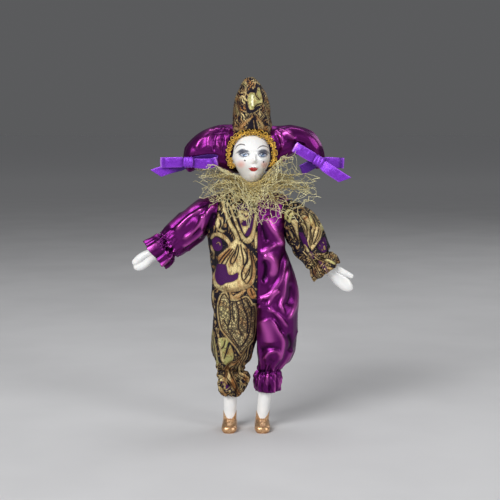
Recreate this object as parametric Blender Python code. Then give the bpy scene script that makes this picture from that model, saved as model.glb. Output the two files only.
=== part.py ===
"""A pierrot clown doll: porcelain head, hands and lower legs on a stuffed cloth body.

The suit is made of four sewn panels, brocade and satin in turn, the cap of a
stuffed brocade crown and two stuffed satin horns with ribbon bows, and the
collar is a strip of gold net gathered round the neck. Sizes are in millimetres
here and are turned into metres as each mesh is made. The doll faces -Y and its
soles are on z = 0. Right and left are the doll's own, so its right is at -X.
"""

import math

import bpy
import bmesh
from mathutils import Matrix, Vector

MM = 0.001
GAP = 0.3                      # clearance between neighbouring pieces

TOTAL_HEIGHT = 356.0
SEAM_X = 14.8                  # centre seam of the suit
NECK_X, NECK_Y = 9.5, -4.0
NECK_RADIUS = 7.4
NECK_TOP_OF_SUIT = 247.0
CROTCH_Z = 128.0

HEAD_X, HEAD_Y, HEAD_Z = 9.2, -4.5, 276.9
HEAD_HALF_WIDTH, HEAD_HALF_HEIGHT = 19.3, 23.7
HEAD_FRONT, HEAD_BACK = 20.5, 19.5
HEAD_YAW = math.radians(8.0)

FRILL_WALL = 1.2
FRILL_FOLDS = 8

SOLE_HEEL_Y, SOLE_TOE_Y = 9.5, -24.0
LEG_RADIUS = 6.7

RIBBON_WIDTH = 10.0
RIBBON_THICK = 0.8
BRAID_RADIUS = 2.4

RUFF_INNER = 9.6
RUFF_THICK = 1.4
RUFF_STEPS = 50

FINISHES = {
    "porcelain": ((0.86, 0.86, 0.85), 0.12, 0.0),
    "brocade": ((0.42, 0.33, 0.14), 0.45, 0.5),
    "satin": ((0.22, 0.02, 0.26), 0.28, 0.2),
    "ribbon": ((0.16, 0.04, 0.50), 0.38, 0.0),
    "braid": ((0.72, 0.48, 0.08), 0.35, 0.7),
    "net": ((0.70, 0.62, 0.34), 0.45, 0.4),
}


# ---------------------------------------------------------------- helpers

def clear_scene():
    for old in list(bpy.data.objects):
        bpy.data.objects.remove(old, do_unlink=True)


def make_collection(name):
    group = bpy.data.collections.new(name)
    bpy.context.scene.collection.children.link(group)
    return group


def make_material(name):
    colour, roughness, metallic = FINISHES[name]
    material = bpy.data.materials.new(name)
    material.use_nodes = True
    shader = material.node_tree.nodes["Principled BSDF"]
    shader.inputs["Base Color"].default_value = (*colour, 1.0)
    shader.inputs["Roughness"].default_value = roughness
    shader.inputs["Metallic"].default_value = metallic
    return material


def smooth_table(rows, t):
    """Values of a table at t in 0..1, eased through its rows without overshoot."""
    place = t * (len(rows) - 1)
    i = min(int(place), len(rows) - 2)
    u = place - i
    before, start = rows[max(i - 1, 0)], rows[i]
    end, after = rows[i + 1], rows[min(i + 2, len(rows) - 1)]
    values = []
    for a, b, c, d in zip(before, start, end, after):
        left = 0.0 if (b - a) * (c - b) <= 0 else 0.5 * (c - a)
        right = 0.0 if (c - b) * (d - c) <= 0 else 0.5 * (d - b)
        limit = 3.0 * abs(c - b)
        left = max(-limit, min(limit, left))
        right = max(-limit, min(limit, right))
        values.append(
            (2 * u**3 - 3 * u**2 + 1) * b
            + (u**3 - 2 * u**2 + u) * left
            + (3 * u**2 - 2 * u**3) * c
            + (u**3 - u**2) * right
        )
    return values


def signed_power(value, power):
    return math.copysign(abs(value) ** power, value)


def section(centre, across, deep, wide, narrow, front, back, power, count, fold=None):
    """One closed ring of points. across and deep are its two directions; wide and
    narrow are its reach along +across and -across, front and back along -deep and
    +deep; fold gives the share by which a point is drawn in."""
    ring = []
    for k in range(count):
        angle = 2 * math.pi * k / count
        c, s = math.cos(angle), math.sin(angle)
        reach = wide if c >= 0 else narrow
        depth = back if s >= 0 else front
        keep = 1.0 - (fold(angle) if fold else 0.0)
        ring.append(
            centre
            + across * (keep * reach * signed_power(c, 2 / power))
            + deep * (keep * depth * signed_power(s, 2 / power))
        )
    return ring


def loft(name, rings):
    """A closed skin through rings of equal counts, with flat ends."""
    shape = bmesh.new()
    rows = [[shape.verts.new(point * MM) for point in ring] for ring in rings]
    count = len(rows[0])
    for low, high in zip(rows, rows[1:]):
        for k in range(count):
            n = (k + 1) % count
            shape.faces.new((low[k], low[n], high[n], high[k]))
    shape.faces.new(list(reversed(rows[0])))
    shape.faces.new(rows[-1])
    bmesh.ops.triangulate(shape, faces=shape.faces[:], quad_method="BEAUTY")
    bmesh.ops.recalc_face_normals(shape, faces=shape.faces[:])
    if shape.calc_volume(signed=True) < 0:
        bmesh.ops.reverse_faces(shape, faces=shape.faces[:])
    mesh = bpy.data.meshes.new(name)
    shape.to_mesh(mesh)
    shape.free()
    mesh.shade_smooth()
    return mesh


def add(name, mesh, material, group):
    mesh.materials.clear()
    mesh.materials.append(material)
    obj = bpy.data.objects.new(name, mesh)
    group.objects.link(obj)
    return obj


def helper(name, mesh, group):
    obj = bpy.data.objects.new(name, mesh)
    obj.hide_render = True
    obj.display_type = "WIRE"
    group.objects.link(obj)
    return obj


def boolean(obj, other, operation):
    modifier = obj.modifiers.new(operation.lower() + " " + other.name, "BOOLEAN")
    modifier.operation = operation
    modifier.solver = "EXACT"
    modifier.object = other
    return modifier


X, Y, Z = Vector((1, 0, 0)), Vector((0, 1, 0)), Vector((0, 0, 1))


# ------------------------------------------------------------- suit halves

def leg_fold(z, angle, side):
    """Larger drapery: slanting folds on the leg and a soft waist crease."""
    slant = 0.035 * (1 + math.cos(3 * angle + side * z / 13.0))
    crease = 0.05 * math.exp(-((z - 150.0) / 9.0) ** 2) * (1 + math.cos(2 * angle + 0.8))
    return slant + crease


def gather_fold(z, gather_z, angle, side):
    """Elastic gathers: pleats that are deepest at the elastic."""
    near = math.exp(-((z - gather_z) / 9.0) ** 2)
    below = 1.0 if z < gather_z else near
    return 0.07 * below * (1 + math.cos(FRILL_FOLDS * angle + side * 0.6))


def suit_half(name, side, rows, gather_z, leg_x, rings=19, count=32):
    """side is -1 for the doll's right half. A row is z, inner x, outer x, front y,
    back y and how round the inner side is, from 0 at the flat seam to 1."""
    out = []
    for i in range(rings):
        z, inner, outer, front, back, round_in = smooth_table(rows, i / (rings - 1))
        half = abs(outer - inner) / 2
        bulge = half * round_in
        centre_x = inner + side * bulge
        centre_y = (front + back) / 2

        def fold(angle, z=z, round_in=round_in):
            outward = max(0.0, math.cos(angle)) ** 0.5 if round_in < 0.9 else 1.0
            fade = min(1.0, max(0.0, (207.0 - z) / 14.0)) * min(1.0, max(0.0, (z - 72.0) / 14.0))
            drape = fade * leg_fold(z, angle, side)
            return outward * drape + gather_fold(z, gather_z, angle, side) * (z < 80)

        out.append(
            section(
                Vector((centre_x, centre_y, z)), X * side, Y,
                abs(outer - centre_x), max(bulge, 0.02),
                centre_y - front, back - centre_y,
                2.25 + 1.6 * math.exp(-((z - 219.0) / 17.0) ** 4), count, fold,
            )
        )
    # The frill turns in at its hem, and its inside runs up to the elastic.
    last = out[-1]
    centre = sum(last, Vector()) / count
    inside = [centre + (p - centre) * (1 - FRILL_WALL / (p - centre).length) for p in last]
    out.append(inside)
    pocket = Vector((leg_x, centre.y, gather_z - 2.0))
    out.append(section(pocket, X * side, Y, 8.6, 8.6, 8.2, 8.2, 2.0, count))
    return loft(name, out)


RIGHT_HALF = [
    # z, inner x, outer x, front y, back y, roundness of the inner side
    (247.0, SEAM_X - 0.15, 0.5, -13.0, 5.5, 0.0),
    (243.5, SEAM_X - 0.15, -10.5, -17.5, 10.0, 0.0),
    (238.5, SEAM_X - 0.15, -24.0, -20.5, 13.5, 0.0),
    (230.0, SEAM_X - 0.15, -27.6, -23.5, 16.5, 0.0),
    (216.0, SEAM_X - 0.15, -29.4, -26.5, 18.5, 0.0),
    (200.0, SEAM_X - 0.15, -32.3, -27.5, 19.0, 0.0),
    (182.0, SEAM_X - 0.15, -31.4, -27.5, 19.0, 0.0),
    (163.0, SEAM_X - 0.15, -29.2, -26.5, 18.5, 0.0),
    (145.0, SEAM_X - 0.15, -29.8, -27.0, 18.5, 0.0),
    (134.0, SEAM_X - 0.15, -30.3, -26.5, 18.0, 0.15),
    (124.0, SEAM_X - 0.7, -30.6, -25.5, 17.5, 0.8),
    (110.0, SEAM_X - 2.2, -31.2, -24.5, 16.5, 1.0),
    (96.0, SEAM_X - 3.6, -31.8, -23.5, 16.0, 1.0),
    (84.0, 10.2, -31.6, -21.5, 16.0, 1.0),
    (74.0, 7.0, -30.2, -18.0, 14.5, 1.0),
    (66.0, 2.2, -28.2, -13.5, 11.5, 1.0),
    (61.0, 0.8, -27.0, -11.5, 10.0, 1.0),
    (55.0, 5.2, -26.2, -13.5, 11.5, 1.0),
    (47.0, 5.6, -25.8, -16.0, 13.5, 1.0),
    (37.5, -0.5, -24.2, -14.0, 12.0, 1.0),
]

LEFT_HALF = [
    (247.0, SEAM_X + 0.15, 20.5, -13.0, 5.5, 0.0),
    (243.5, SEAM_X + 0.15, 31.5, -17.5, 10.0, 0.0),
    (238.5, SEAM_X + 0.15, 42.0, -20.5, 13.5, 0.0),
    (230.0, SEAM_X + 0.15, 44.0, -23.5, 16.5, 0.0),
    (216.0, SEAM_X + 0.15, 43.9, -26.5, 18.5, 0.0),
    (200.0, SEAM_X + 0.15, 44.3, -27.5, 19.0, 0.0),
    (182.0, SEAM_X + 0.15, 46.4, -27.5, 19.0, 0.0),
    (163.0, SEAM_X + 0.15, 49.5, -26.5, 18.5, 0.0),
    (145.0, SEAM_X + 0.15, 53.4, -27.0, 18.5, 0.0),
    (134.0, SEAM_X + 0.15, 54.4, -26.5, 18.0, 0.15),
    (124.0, SEAM_X + 0.7, 54.9, -25.5, 17.5, 0.8),
    (110.0, SEAM_X - 0.6, 55.3, -24.5, 16.5, 1.0),
    (96.0, SEAM_X - 2.4, 55.0, -23.5, 16.0, 1.0),
    (84.0, 11.4, 53.0, -21.5, 16.0, 1.0),
    (74.0, 12.2, 48.8, -18.0, 14.5, 1.0),
    (66.0, 14.4, 42.8, -13.5, 11.5, 1.0),
    (61.0, 14.8, 40.8, -11.5, 10.0, 1.0),
    (56.0, 11.0, 40.2, -13.5, 11.5, 1.0),
    (49.5, 10.2, 40.0, -15.5, 13.0, 1.0),
    (42.0, 14.0, 37.4, -14.0, 12.0, 1.0),
]


# ----------------------------------------------------------------- sleeves

def sleeve(name, rows, count=28, rings=11):
    """A row is the top and the bottom of the sleeve in the front view, as x, z, x, z,
    then half its depth, the y of its middle and the depth of its pleats."""
    out = []
    for i in range(rings):
        tx, tz, bx, bz, half_depth, middle_y, pleat = smooth_table(rows, i / (rings - 1))
        top, bottom = Vector((tx, middle_y, tz)), Vector((bx, middle_y, bz))
        centre, up = (top + bottom) / 2, (top - bottom)
        half = up.length / 2
        drape = 0.03 * (i / rings)

        def fold(angle, pleat=pleat, drape=drape, i=i):
            return pleat * (1 + math.cos(7 * angle + 0.5)) + drape * (
                1 + math.cos(3 * angle + 0.55 * i)
            )

        out.append(
            section(centre, up.normalized(), Y, half, half, half_depth, half_depth, 2.15, count, fold)
        )
    last = out[-1]
    centre = sum(last, Vector()) / count
    out.append([centre + (p - centre) * (1 - FRILL_WALL / (p - centre).length) for p in last])
    # The inside of the frill, back to the elastic.
    gather = smooth_table(rows, (len(rows) - 3) / (len(rows) - 1))
    top, bottom = Vector((gather[0], gather[5], gather[1])), Vector((gather[2], gather[5], gather[3]))
    axis = (centre - (top + bottom) / 2).normalized()
    pocket = (top + bottom) / 2 + axis * 1.5
    out.append(
        section(pocket, (top - bottom).normalized(), Y, 8.2, 8.2, 6.6, 6.6, 2.0, count)
    )
    return loft(name, out), pocket, axis


RIGHT_SLEEVE = [
    # top x, z; bottom x, z; half depth; middle y; pleats
    (-28.0, 235.6, -33.6, 202.2, 16.5, -4.0, 0.0),
    (-46.0, 230.0, -36.4, 199.6, 16.5, -5.0, 0.0),
    (-59.5, 220.6, -44.0, 193.4, 15.5, -6.0, 0.01),
    (-70.5, 212.0, -52.2, 186.2, 13.5, -7.0, 0.015),
    (-79.2, 203.6, -62.4, 179.6, 11.5, -8.0, 0.03),
    (-81.8, 200.2, -66.6, 178.4, 10.0, -8.5, 0.06),
    (-90.0, 197.0, -71.0, 171.6, 12.5, -9.0, 0.05),
    (-98.2, 192.3, -76.2, 166.1, 13.5, -9.5, 0.05),
]

LEFT_SLEEVE = [
    (44.7, 234.6, 44.9, 200.6, 16.5, -4.0, 0.0),
    (59.0, 229.6, 48.0, 193.0, 16.5, -5.0, 0.0),
    (70.6, 218.6, 51.6, 184.6, 15.5, -6.0, 0.01),
    (79.6, 205.6, 56.6, 177.0, 13.5, -7.0, 0.015),
    (85.4, 190.0, 62.6, 169.4, 11.5, -8.0, 0.03),
    (87.2, 183.6, 67.2, 165.2, 10.0, -8.5, 0.06),
    (93.6, 178.6, 70.4, 160.2, 12.5, -9.0, 0.05),
    (96.4, 172.6, 73.6, 155.0, 13.5, -9.5, 0.05),
]


# ------------------------------------------------------------------- hands

def hand(name, pocket, axis, wrist, tip, thumb_side, middle_y):
    """A mitten hand on the end of a forearm that stands in the sleeve's pocket."""
    start = pocket + axis * 0.8
    reach = (tip - wrist)
    length = reach.length
    along = reach.normalized()
    up = Vector((-along.z, 0, along.x)) * thumb_side
    # share of the hand's length, reach to the thumb side, to the other side, half depth
    rows = [
        (0.00, 6.0, 6.0, 4.6),
        (0.18, 6.4, 6.2, 4.8),
        (0.38, 7.4, 7.2, 4.6),
        (0.58, 7.8, 7.6, 4.2),
        (0.78, 6.4, 6.8, 3.6),
        (0.92, 3.8, 4.2, 2.8),
        (1.00, 1.4, 1.6, 1.4),
    ]
    count = 20
    rings = [section(start, up, Y, 4.8, 4.8, 4.4, 4.4, 2.0, count)]
    for share, thumb, heel, deep in rows:
        centre = wrist + along * (share * length)
        centre.y = middle_y
        rings.append(section(centre, up, Y, thumb, heel, deep, deep, 2.2, count))
    return loft(name, rings)


# -------------------------------------------------------------------- legs

def lower_leg(name, top, ankle, toe_turn, group, cutters, material):
    """A straight porcelain leg and its low moulded shoe, joined into one body."""
    count = 24
    rings = []
    for z, radius in ((top.z, LEG_RADIUS), (40.0, LEG_RADIUS - 0.1), (26.0, LEG_RADIUS - 0.5), (17.0, 6.4), (6.0, 6.2)):
        share = (top.z - z) / (top.z - ankle.z)
        centre = top.lerp(ankle, min(share, 1.0))
        centre.z = z
        rings.append(section(centre, X, Y, radius, radius, radius, radius, 2.0, count))
    leg = add(name, loft(name, rings), material, group)

    # Half width of the sole line and height of the upper, from the heel to the toe.
    rows = [
        (SOLE_HEEL_Y, 4.2, 11.0),
        (SOLE_HEEL_Y - 2.5, 6.6, 18.0),
        (1.5, 7.7, 19.6),
        (-4.0, 7.9, 17.0),
        (-10.0, 8.1, 12.4),
        (-17.0, 8.1, 9.8),
        (-21.8, 6.6, 8.0),
        (SOLE_TOE_Y, 3.4, 5.6),
    ]
    shoe_rings = []
    for i in range(11):
        y, half, height = smooth_table(rows, i / 10)
        ring = []
        for k in range(count):
            angle = 2 * math.pi * k / count
            rise = 0.5 * (1 + signed_power(math.sin(angle), 2 / 2.3))
            ring.append(
                Vector((
                    ankle.x + half * signed_power(math.cos(angle), 2 / 2.3) + toe_turn * y,
                    ankle.y + y,
                    max(0.0, height * (1.16 * rise - 0.16)),
                ))
            )
        shoe_rings.append(ring)
    shoe = helper(name + "_shoe", loft(name + "_shoe", shoe_rings), cutters)
    boolean(leg, shoe, "UNION")
    return leg


# -------------------------------------------------------------------- head

def head_point(direction, grow=0.0):
    """The head's surface in a direction from its middle, front at -Y."""
    wide = HEAD_HALF_WIDTH + grow
    high = HEAD_HALF_HEIGHT + grow
    deep = (HEAD_FRONT if direction.y < 0 else HEAD_BACK) + grow
    below = max(0.0, -direction.z)
    taper = 1.0 - 0.16 * below**1.5 * (1 - below) * 2
    point = Vector((direction.x * wide * taper, direction.y * deep, direction.z * high))
    if grow == 0.0 and direction.y < 0:
        nose = math.exp(-((point.x / 2.6) ** 2) - (((point.z + 2.5) / 4.5) ** 2))
        eyes = sum(
            math.exp(-(((point.x - s * 8.0) / 4.5) ** 2) - (((point.z - 3.6) / 3.6) ** 2))
            for s in (-1, 1)
        )
        chin = math.exp(-((point.x / 5.0) ** 2) - (((point.z + 17.5) / 4.0) ** 2))
        point.y += -3.0 * nose + 1.1 * eyes - 1.0 * chin
    turn = Matrix.Rotation(HEAD_YAW, 3, "Z")
    return turn @ point + Vector((HEAD_X, HEAD_Y, HEAD_Z))


def head_mesh(name, grow=0.0, around=28, up=16):
    shape = bmesh.new()
    bmesh.ops.create_uvsphere(shape, u_segments=around, v_segments=up, radius=1.0)
    for vert in shape.verts:
        direction = vert.co.normalized()
        vert.co = head_point(direction, grow) * MM
    bmesh.ops.triangulate(shape, faces=shape.faces[:])
    bmesh.ops.recalc_face_normals(shape, faces=shape.faces[:])
    mesh = bpy.data.meshes.new(name)
    shape.to_mesh(mesh)
    shape.free()
    mesh.shade_smooth()
    return mesh


def cylinder_mesh(name, radius, bottom, top, x, y, sides=24):
    shape = bmesh.new()
    bmesh.ops.create_cone(
        shape, cap_ends=True, segments=sides, radius1=radius * MM, radius2=radius * MM,
        depth=(top - bottom) * MM,
        matrix=Matrix.Translation(Vector((x, y, (top + bottom) / 2)) * MM),
    )
    mesh = bpy.data.meshes.new(name)
    shape.to_mesh(mesh)
    shape.free()
    mesh.shade_smooth()
    return mesh


# --------------------------------------------------------------------- cap

CROWN_ROWS = [
    # z, middle x, half width, half depth
    (305.9, 10.3, 20.0, 17.6),
    (312.0, 10.3, 20.1, 17.4),
    (320.0, 10.4, 19.7, 16.8),
    (328.0, 10.5, 18.4, 15.6),
    (336.0, 10.5, 16.2, 13.8),
    (343.0, 10.3, 13.6, 11.6),
    (349.0, 9.6, 10.4, 8.8),
    (353.4, 8.6, 6.6, 5.6),
    (TOTAL_HEIGHT, 7.6, 1.6, 1.4),
]
CROWN_Y = -2.5


def crown_mesh(name, grow=0.0, rings=11, count=24):
    out = []
    for i in range(rings):
        z, x, half_width, half_depth = smooth_table(CROWN_ROWS, i / (rings - 1))
        if i == 0:
            z -= grow
        out.append(
            section(
                Vector((x, CROWN_Y, z)), X, Y, half_width + grow, half_width + grow,
                half_depth + grow, half_depth + grow, 2.1, count,
            )
        )
    return loft(name, out)


RIGHT_HORN = [
    # middle x, y, z; half thickness; half depth
    (HEAD_X - 0.15, 8.0, 284.0, 24.5, 17.5),
    (-6.0, 6.5, 285.5, 24.0, 17.0),
    (-20.0, 4.5, 287.0, 21.3, 16.0),
    (-33.0, 2.5, 286.0, 17.6, 14.5),
    (-43.5, 1.0, 280.8, 13.8, 12.0),
    (-49.6, 0.0, 273.4, 9.4, 8.5),
    (-52.2, -0.5, 266.4, 5.2, 5.0),
    (-52.8, -0.5, 262.4, 1.6, 1.6),
]

LEFT_HORN = [
    (HEAD_X + 0.15, 8.0, 284.0, 24.5, 17.5),
    (22.0, 6.5, 286.5, 23.0, 17.0),
    (36.0, 4.5, 291.4, 18.8, 15.5),
    (50.0, 2.5, 295.0, 15.2, 14.0),
    (62.0, 1.0, 291.4, 13.6, 12.0),
    (70.2, 0.0, 281.6, 10.6, 9.5),
    (74.4, -0.5, 271.6, 6.2, 6.0),
    (75.4, -0.5, 265.6, 1.8, 1.8),
]


def horn_mesh(name, rows, side, rings=12, count=22):
    """A stuffed horn along a curve that arches out from the head and turns down."""
    out = []
    spine = [Vector(smooth_table(rows, i / (rings - 1))[:3]) for i in range(rings)]
    for i in range(rings):
        x, y, z, half, deep = smooth_table(rows, i / (rings - 1))
        along = (spine[min(i + 1, rings - 1)] - spine[max(i - 1, 0)]).normalized()
        if i == 0:
            along = X * side
        up = Vector((-along.z * side, 0, along.x * side)).normalized()

        def fold(angle, i=i):
            return 0.03 * math.exp(-((i - 4) / 2.5) ** 2) * (1 + math.cos(7 * angle))

        out.append(section(Vector((x, y, z)), up, Y, half, half, deep, deep, 2.1, count, fold))
    return loft(name, out)


def braid_object(name, material, group):
    """The looped braid round the face opening, as one tube along its line."""
    curve = bpy.data.curves.new(name, "CURVE")
    curve.dimensions = "3D"
    curve.bevel_depth = BRAID_RADIUS * MM
    curve.bevel_resolution = 1
    curve.use_fill_caps = True
    line = curve.splines.new("POLY")
    steps = 25
    line.points.add(steps - 1)
    for i in range(steps):
        angle = math.radians(-38 + 256 * i / (steps - 1))
        rise = math.sin(angle)
        x = HEAD_X + 0.2 + 23.6 * math.cos(angle)
        z = 279.6 + (23.4 if rise > 0 else 20.0) * rise
        y = -13.0 - 2.4 * max(0.0, rise) ** 2 + 1.5 * max(0.0, -rise)
        line.points[i].co = (x * MM, y * MM, z * MM, 1.0)
    obj = bpy.data.objects.new(name, curve)
    curve.materials.append(material)
    group.objects.link(obj)
    return obj


# -------------------------------------------------------------------- bows

def ribbon_loop(name, length, fat, cutters, place):
    """One loop of ribbon seen from above as a teardrop band, extruded by its width."""
    curve = bpy.data.curves.new(name, "CURVE")
    curve.dimensions = "2D"
    curve.fill_mode = "BOTH"
    curve.extrude = RIBBON_WIDTH / 2 * MM
    steps = 14
    for inset in (0.0, RIBBON_THICK):
        line = curve.splines.new("POLY")
        line.points.add(steps - 1)
        line.use_cyclic_u = True
        for k in range(steps):
            angle = 2 * math.pi * k / steps
            reach = (length / 2 - inset) * (1 - math.cos(angle)) + inset
            swell = (fat - inset) * math.sin(angle) * (0.45 + 0.55 * reach / length)
            line.points[k].co = (reach * MM, swell * MM, 0.0, 1.0)
    source = bpy.data.objects.new(name, curve)
    cutters.objects.link(source)
    bpy.context.view_layer.update()
    graph = bpy.context.evaluated_depsgraph_get()
    mesh = bpy.data.meshes.new_from_object(source.evaluated_get(graph))
    bpy.data.objects.remove(source, do_unlink=True)
    shape = bmesh.new()
    shape.from_mesh(mesh)
    bmesh.ops.remove_doubles(shape, verts=shape.verts[:], dist=1e-6)
    bmesh.ops.recalc_face_normals(shape, faces=shape.faces[:])
    # The curve's width is along Z already, so the loop only has to be placed.
    bmesh.ops.transform(shape, matrix=place, verts=shape.verts[:])
    shape.to_mesh(mesh)
    shape.free()
    return helper(name, mesh, cutters)


def block_mesh(name, size, place, bevel=0.0):
    shape = bmesh.new()
    bmesh.ops.create_cube(shape, size=1.0)
    bmesh.ops.scale(shape, vec=Vector(size) * MM, verts=shape.verts[:])
    if bevel:
        bmesh.ops.bevel(
            shape, geom=shape.edges[:], offset=bevel * MM, segments=2, profile=0.5,
            affect="EDGES",
        )
    bmesh.ops.transform(shape, matrix=place, verts=shape.verts[:])
    mesh = bpy.data.meshes.new(name)
    shape.to_mesh(mesh)
    shape.free()
    return mesh


def tail_mesh(name, corners, y_start, y_end):
    """A flat ribbon tail: four corners in the front view, a slanted cut at its end."""
    shape = bmesh.new()
    depth = (y_start, y_end, y_end, y_start)
    front = [shape.verts.new(Vector((x, y, z)) * MM) for (x, z), y in zip(corners, depth)]
    back = [
        shape.verts.new(Vector((x, y + RIBBON_THICK, z)) * MM)
        for (x, z), y in zip(corners, depth)
    ]
    shape.faces.new(front)
    shape.faces.new(list(reversed(back)))
    for k in range(4):
        n = (k + 1) % 4
        shape.faces.new((front[n], front[k], back[k], back[n]))
    bmesh.ops.triangulate(shape, faces=shape.faces[:])
    bmesh.ops.recalc_face_normals(shape, faces=shape.faces[:])
    mesh = bpy.data.meshes.new(name)
    shape.to_mesh(mesh)
    shape.free()
    return mesh


def bow(name, knot, loops, tails, knot_turn, group, cutters, material):
    """loops: (length, fatness, turn in the front view, start x, start z)."""
    place = Matrix.Translation(knot * MM) @ Matrix.Rotation(knot_turn, 4, "Y")
    obj = add(name, block_mesh(name, (10.4, 8.0, 11.4), place, 1.6), material, group)
    for i, (length, fat, turn, dx, dz) in enumerate(loops):
        start = Matrix.Translation((knot + Vector((dx, -0.4, dz))) * MM)
        lie = Matrix.Rotation(turn, 4, "Y")
        other = ribbon_loop(f"{name}_loop_{i}", length, fat, cutters, start @ lie)
        boolean(obj, other, "UNION")
    for i, (corners, y_start, y_end) in enumerate(tails):
        mesh = tail_mesh(f"{name}_tail_{i}", corners, y_start, y_end)
        boolean(obj, helper(f"{name}_tail_{i}", mesh, cutters), "UNION")
    return obj


# -------------------------------------------------------------------- ruff

def bump(angle, middle, spread):
    """A smooth hump over directions near middle, in degrees."""
    off = (math.degrees(angle) - middle + 180) % 360 - 180
    return math.exp(-((off / spread) ** 2))


def ruff_reach(angle):
    """Outer radius and height of the upper and the lower frill in a direction.
    Directions run from +X through the back to -X and the front."""
    wave = math.cos(10 * angle)
    back = 5.0 * bump(angle, 90, 50) - 2.0 * bump(angle, 270, 40)
    upper_r = 37.5 + back + 12 * bump(angle, 203, 24) + 8 * bump(angle, 325, 20) + 18 * bump(angle, 354, 20)
    upper_z = 255 + 4 * bump(angle, 200, 16) + 18 * bump(angle, 224, 15) + 28 * bump(angle, 320, 15) - 8 * bump(angle, 270, 26)
    lower_r = 35.5 + back + 14 * bump(angle, 184, 34) + 23 * bump(angle, 352, 34)
    lower_z = 238 - 17.5 * bump(angle, 272, 42) - 8 * bump(angle, 90, 50) + 5.5 * bump(angle, 187, 30)
    return (
        upper_r + 1.5 * wave, upper_z + 2.0 * wave,
        lower_r - 1.5 * wave, lower_z + 1.6 * wave,
    )


def ruff_mesh(name):
    """A gathered strip tacked along its middle: a ring with a V-shaped section."""
    base = NECK_TOP_OF_SUIT + 2.6
    half = RUFF_THICK / 2
    sections = []
    for k in range(RUFF_STEPS):
        angle = 2 * math.pi * k / RUFF_STEPS
        ur, uz, lr, lz = ruff_reach(angle)
        ruffle = 0.7 * math.cos(10 * angle)
        mid_u = (RUFF_INNER + 0.45 * (ur - RUFF_INNER), base + 2.6 + 0.30 * (uz - base) + ruffle)
        mid_l = (RUFF_INNER + 0.45 * (lr - RUFF_INNER), base - 0.6 + 0.26 * (lz - base) + ruffle)
        outline = [
            (RUFF_INNER, base - 1.5),
            (mid_l[0], mid_l[1] - half),
            (lr, lz - half),
            (lr + 0.3, lz + half),
            (mid_l[0] + 0.3, mid_l[1] + half),
            (RUFF_INNER + 4.5, base + 0.9),
            (mid_u[0] + 0.3, mid_u[1] - half),
            (ur + 0.3, uz - half),
            (ur, uz + half),
            (mid_u[0], mid_u[1] + half),
            (RUFF_INNER, base + 3.2),
        ]
        sections.append([
            Vector((NECK_X + r * math.cos(angle), NECK_Y + r * math.sin(angle), z))
            for r, z in outline
        ])
    shape = bmesh.new()
    rows = [[shape.verts.new(p * MM) for p in ring] for ring in sections]
    for k, row in enumerate(rows):
        following = rows[(k + 1) % len(rows)]
        for i in range(len(row)):
            n = (i + 1) % len(row)
            shape.faces.new((row[i], row[n], following[n], following[i]))
    bmesh.ops.triangulate(shape, faces=shape.faces[:])
    bmesh.ops.recalc_face_normals(shape, faces=shape.faces[:])
    if shape.calc_volume(signed=True) < 0:
        bmesh.ops.reverse_faces(shape, faces=shape.faces[:])
    mesh = bpy.data.meshes.new(name)
    shape.to_mesh(mesh)
    shape.free()
    mesh.shade_smooth()
    return mesh


# ------------------------------------------------------------------- build

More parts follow.
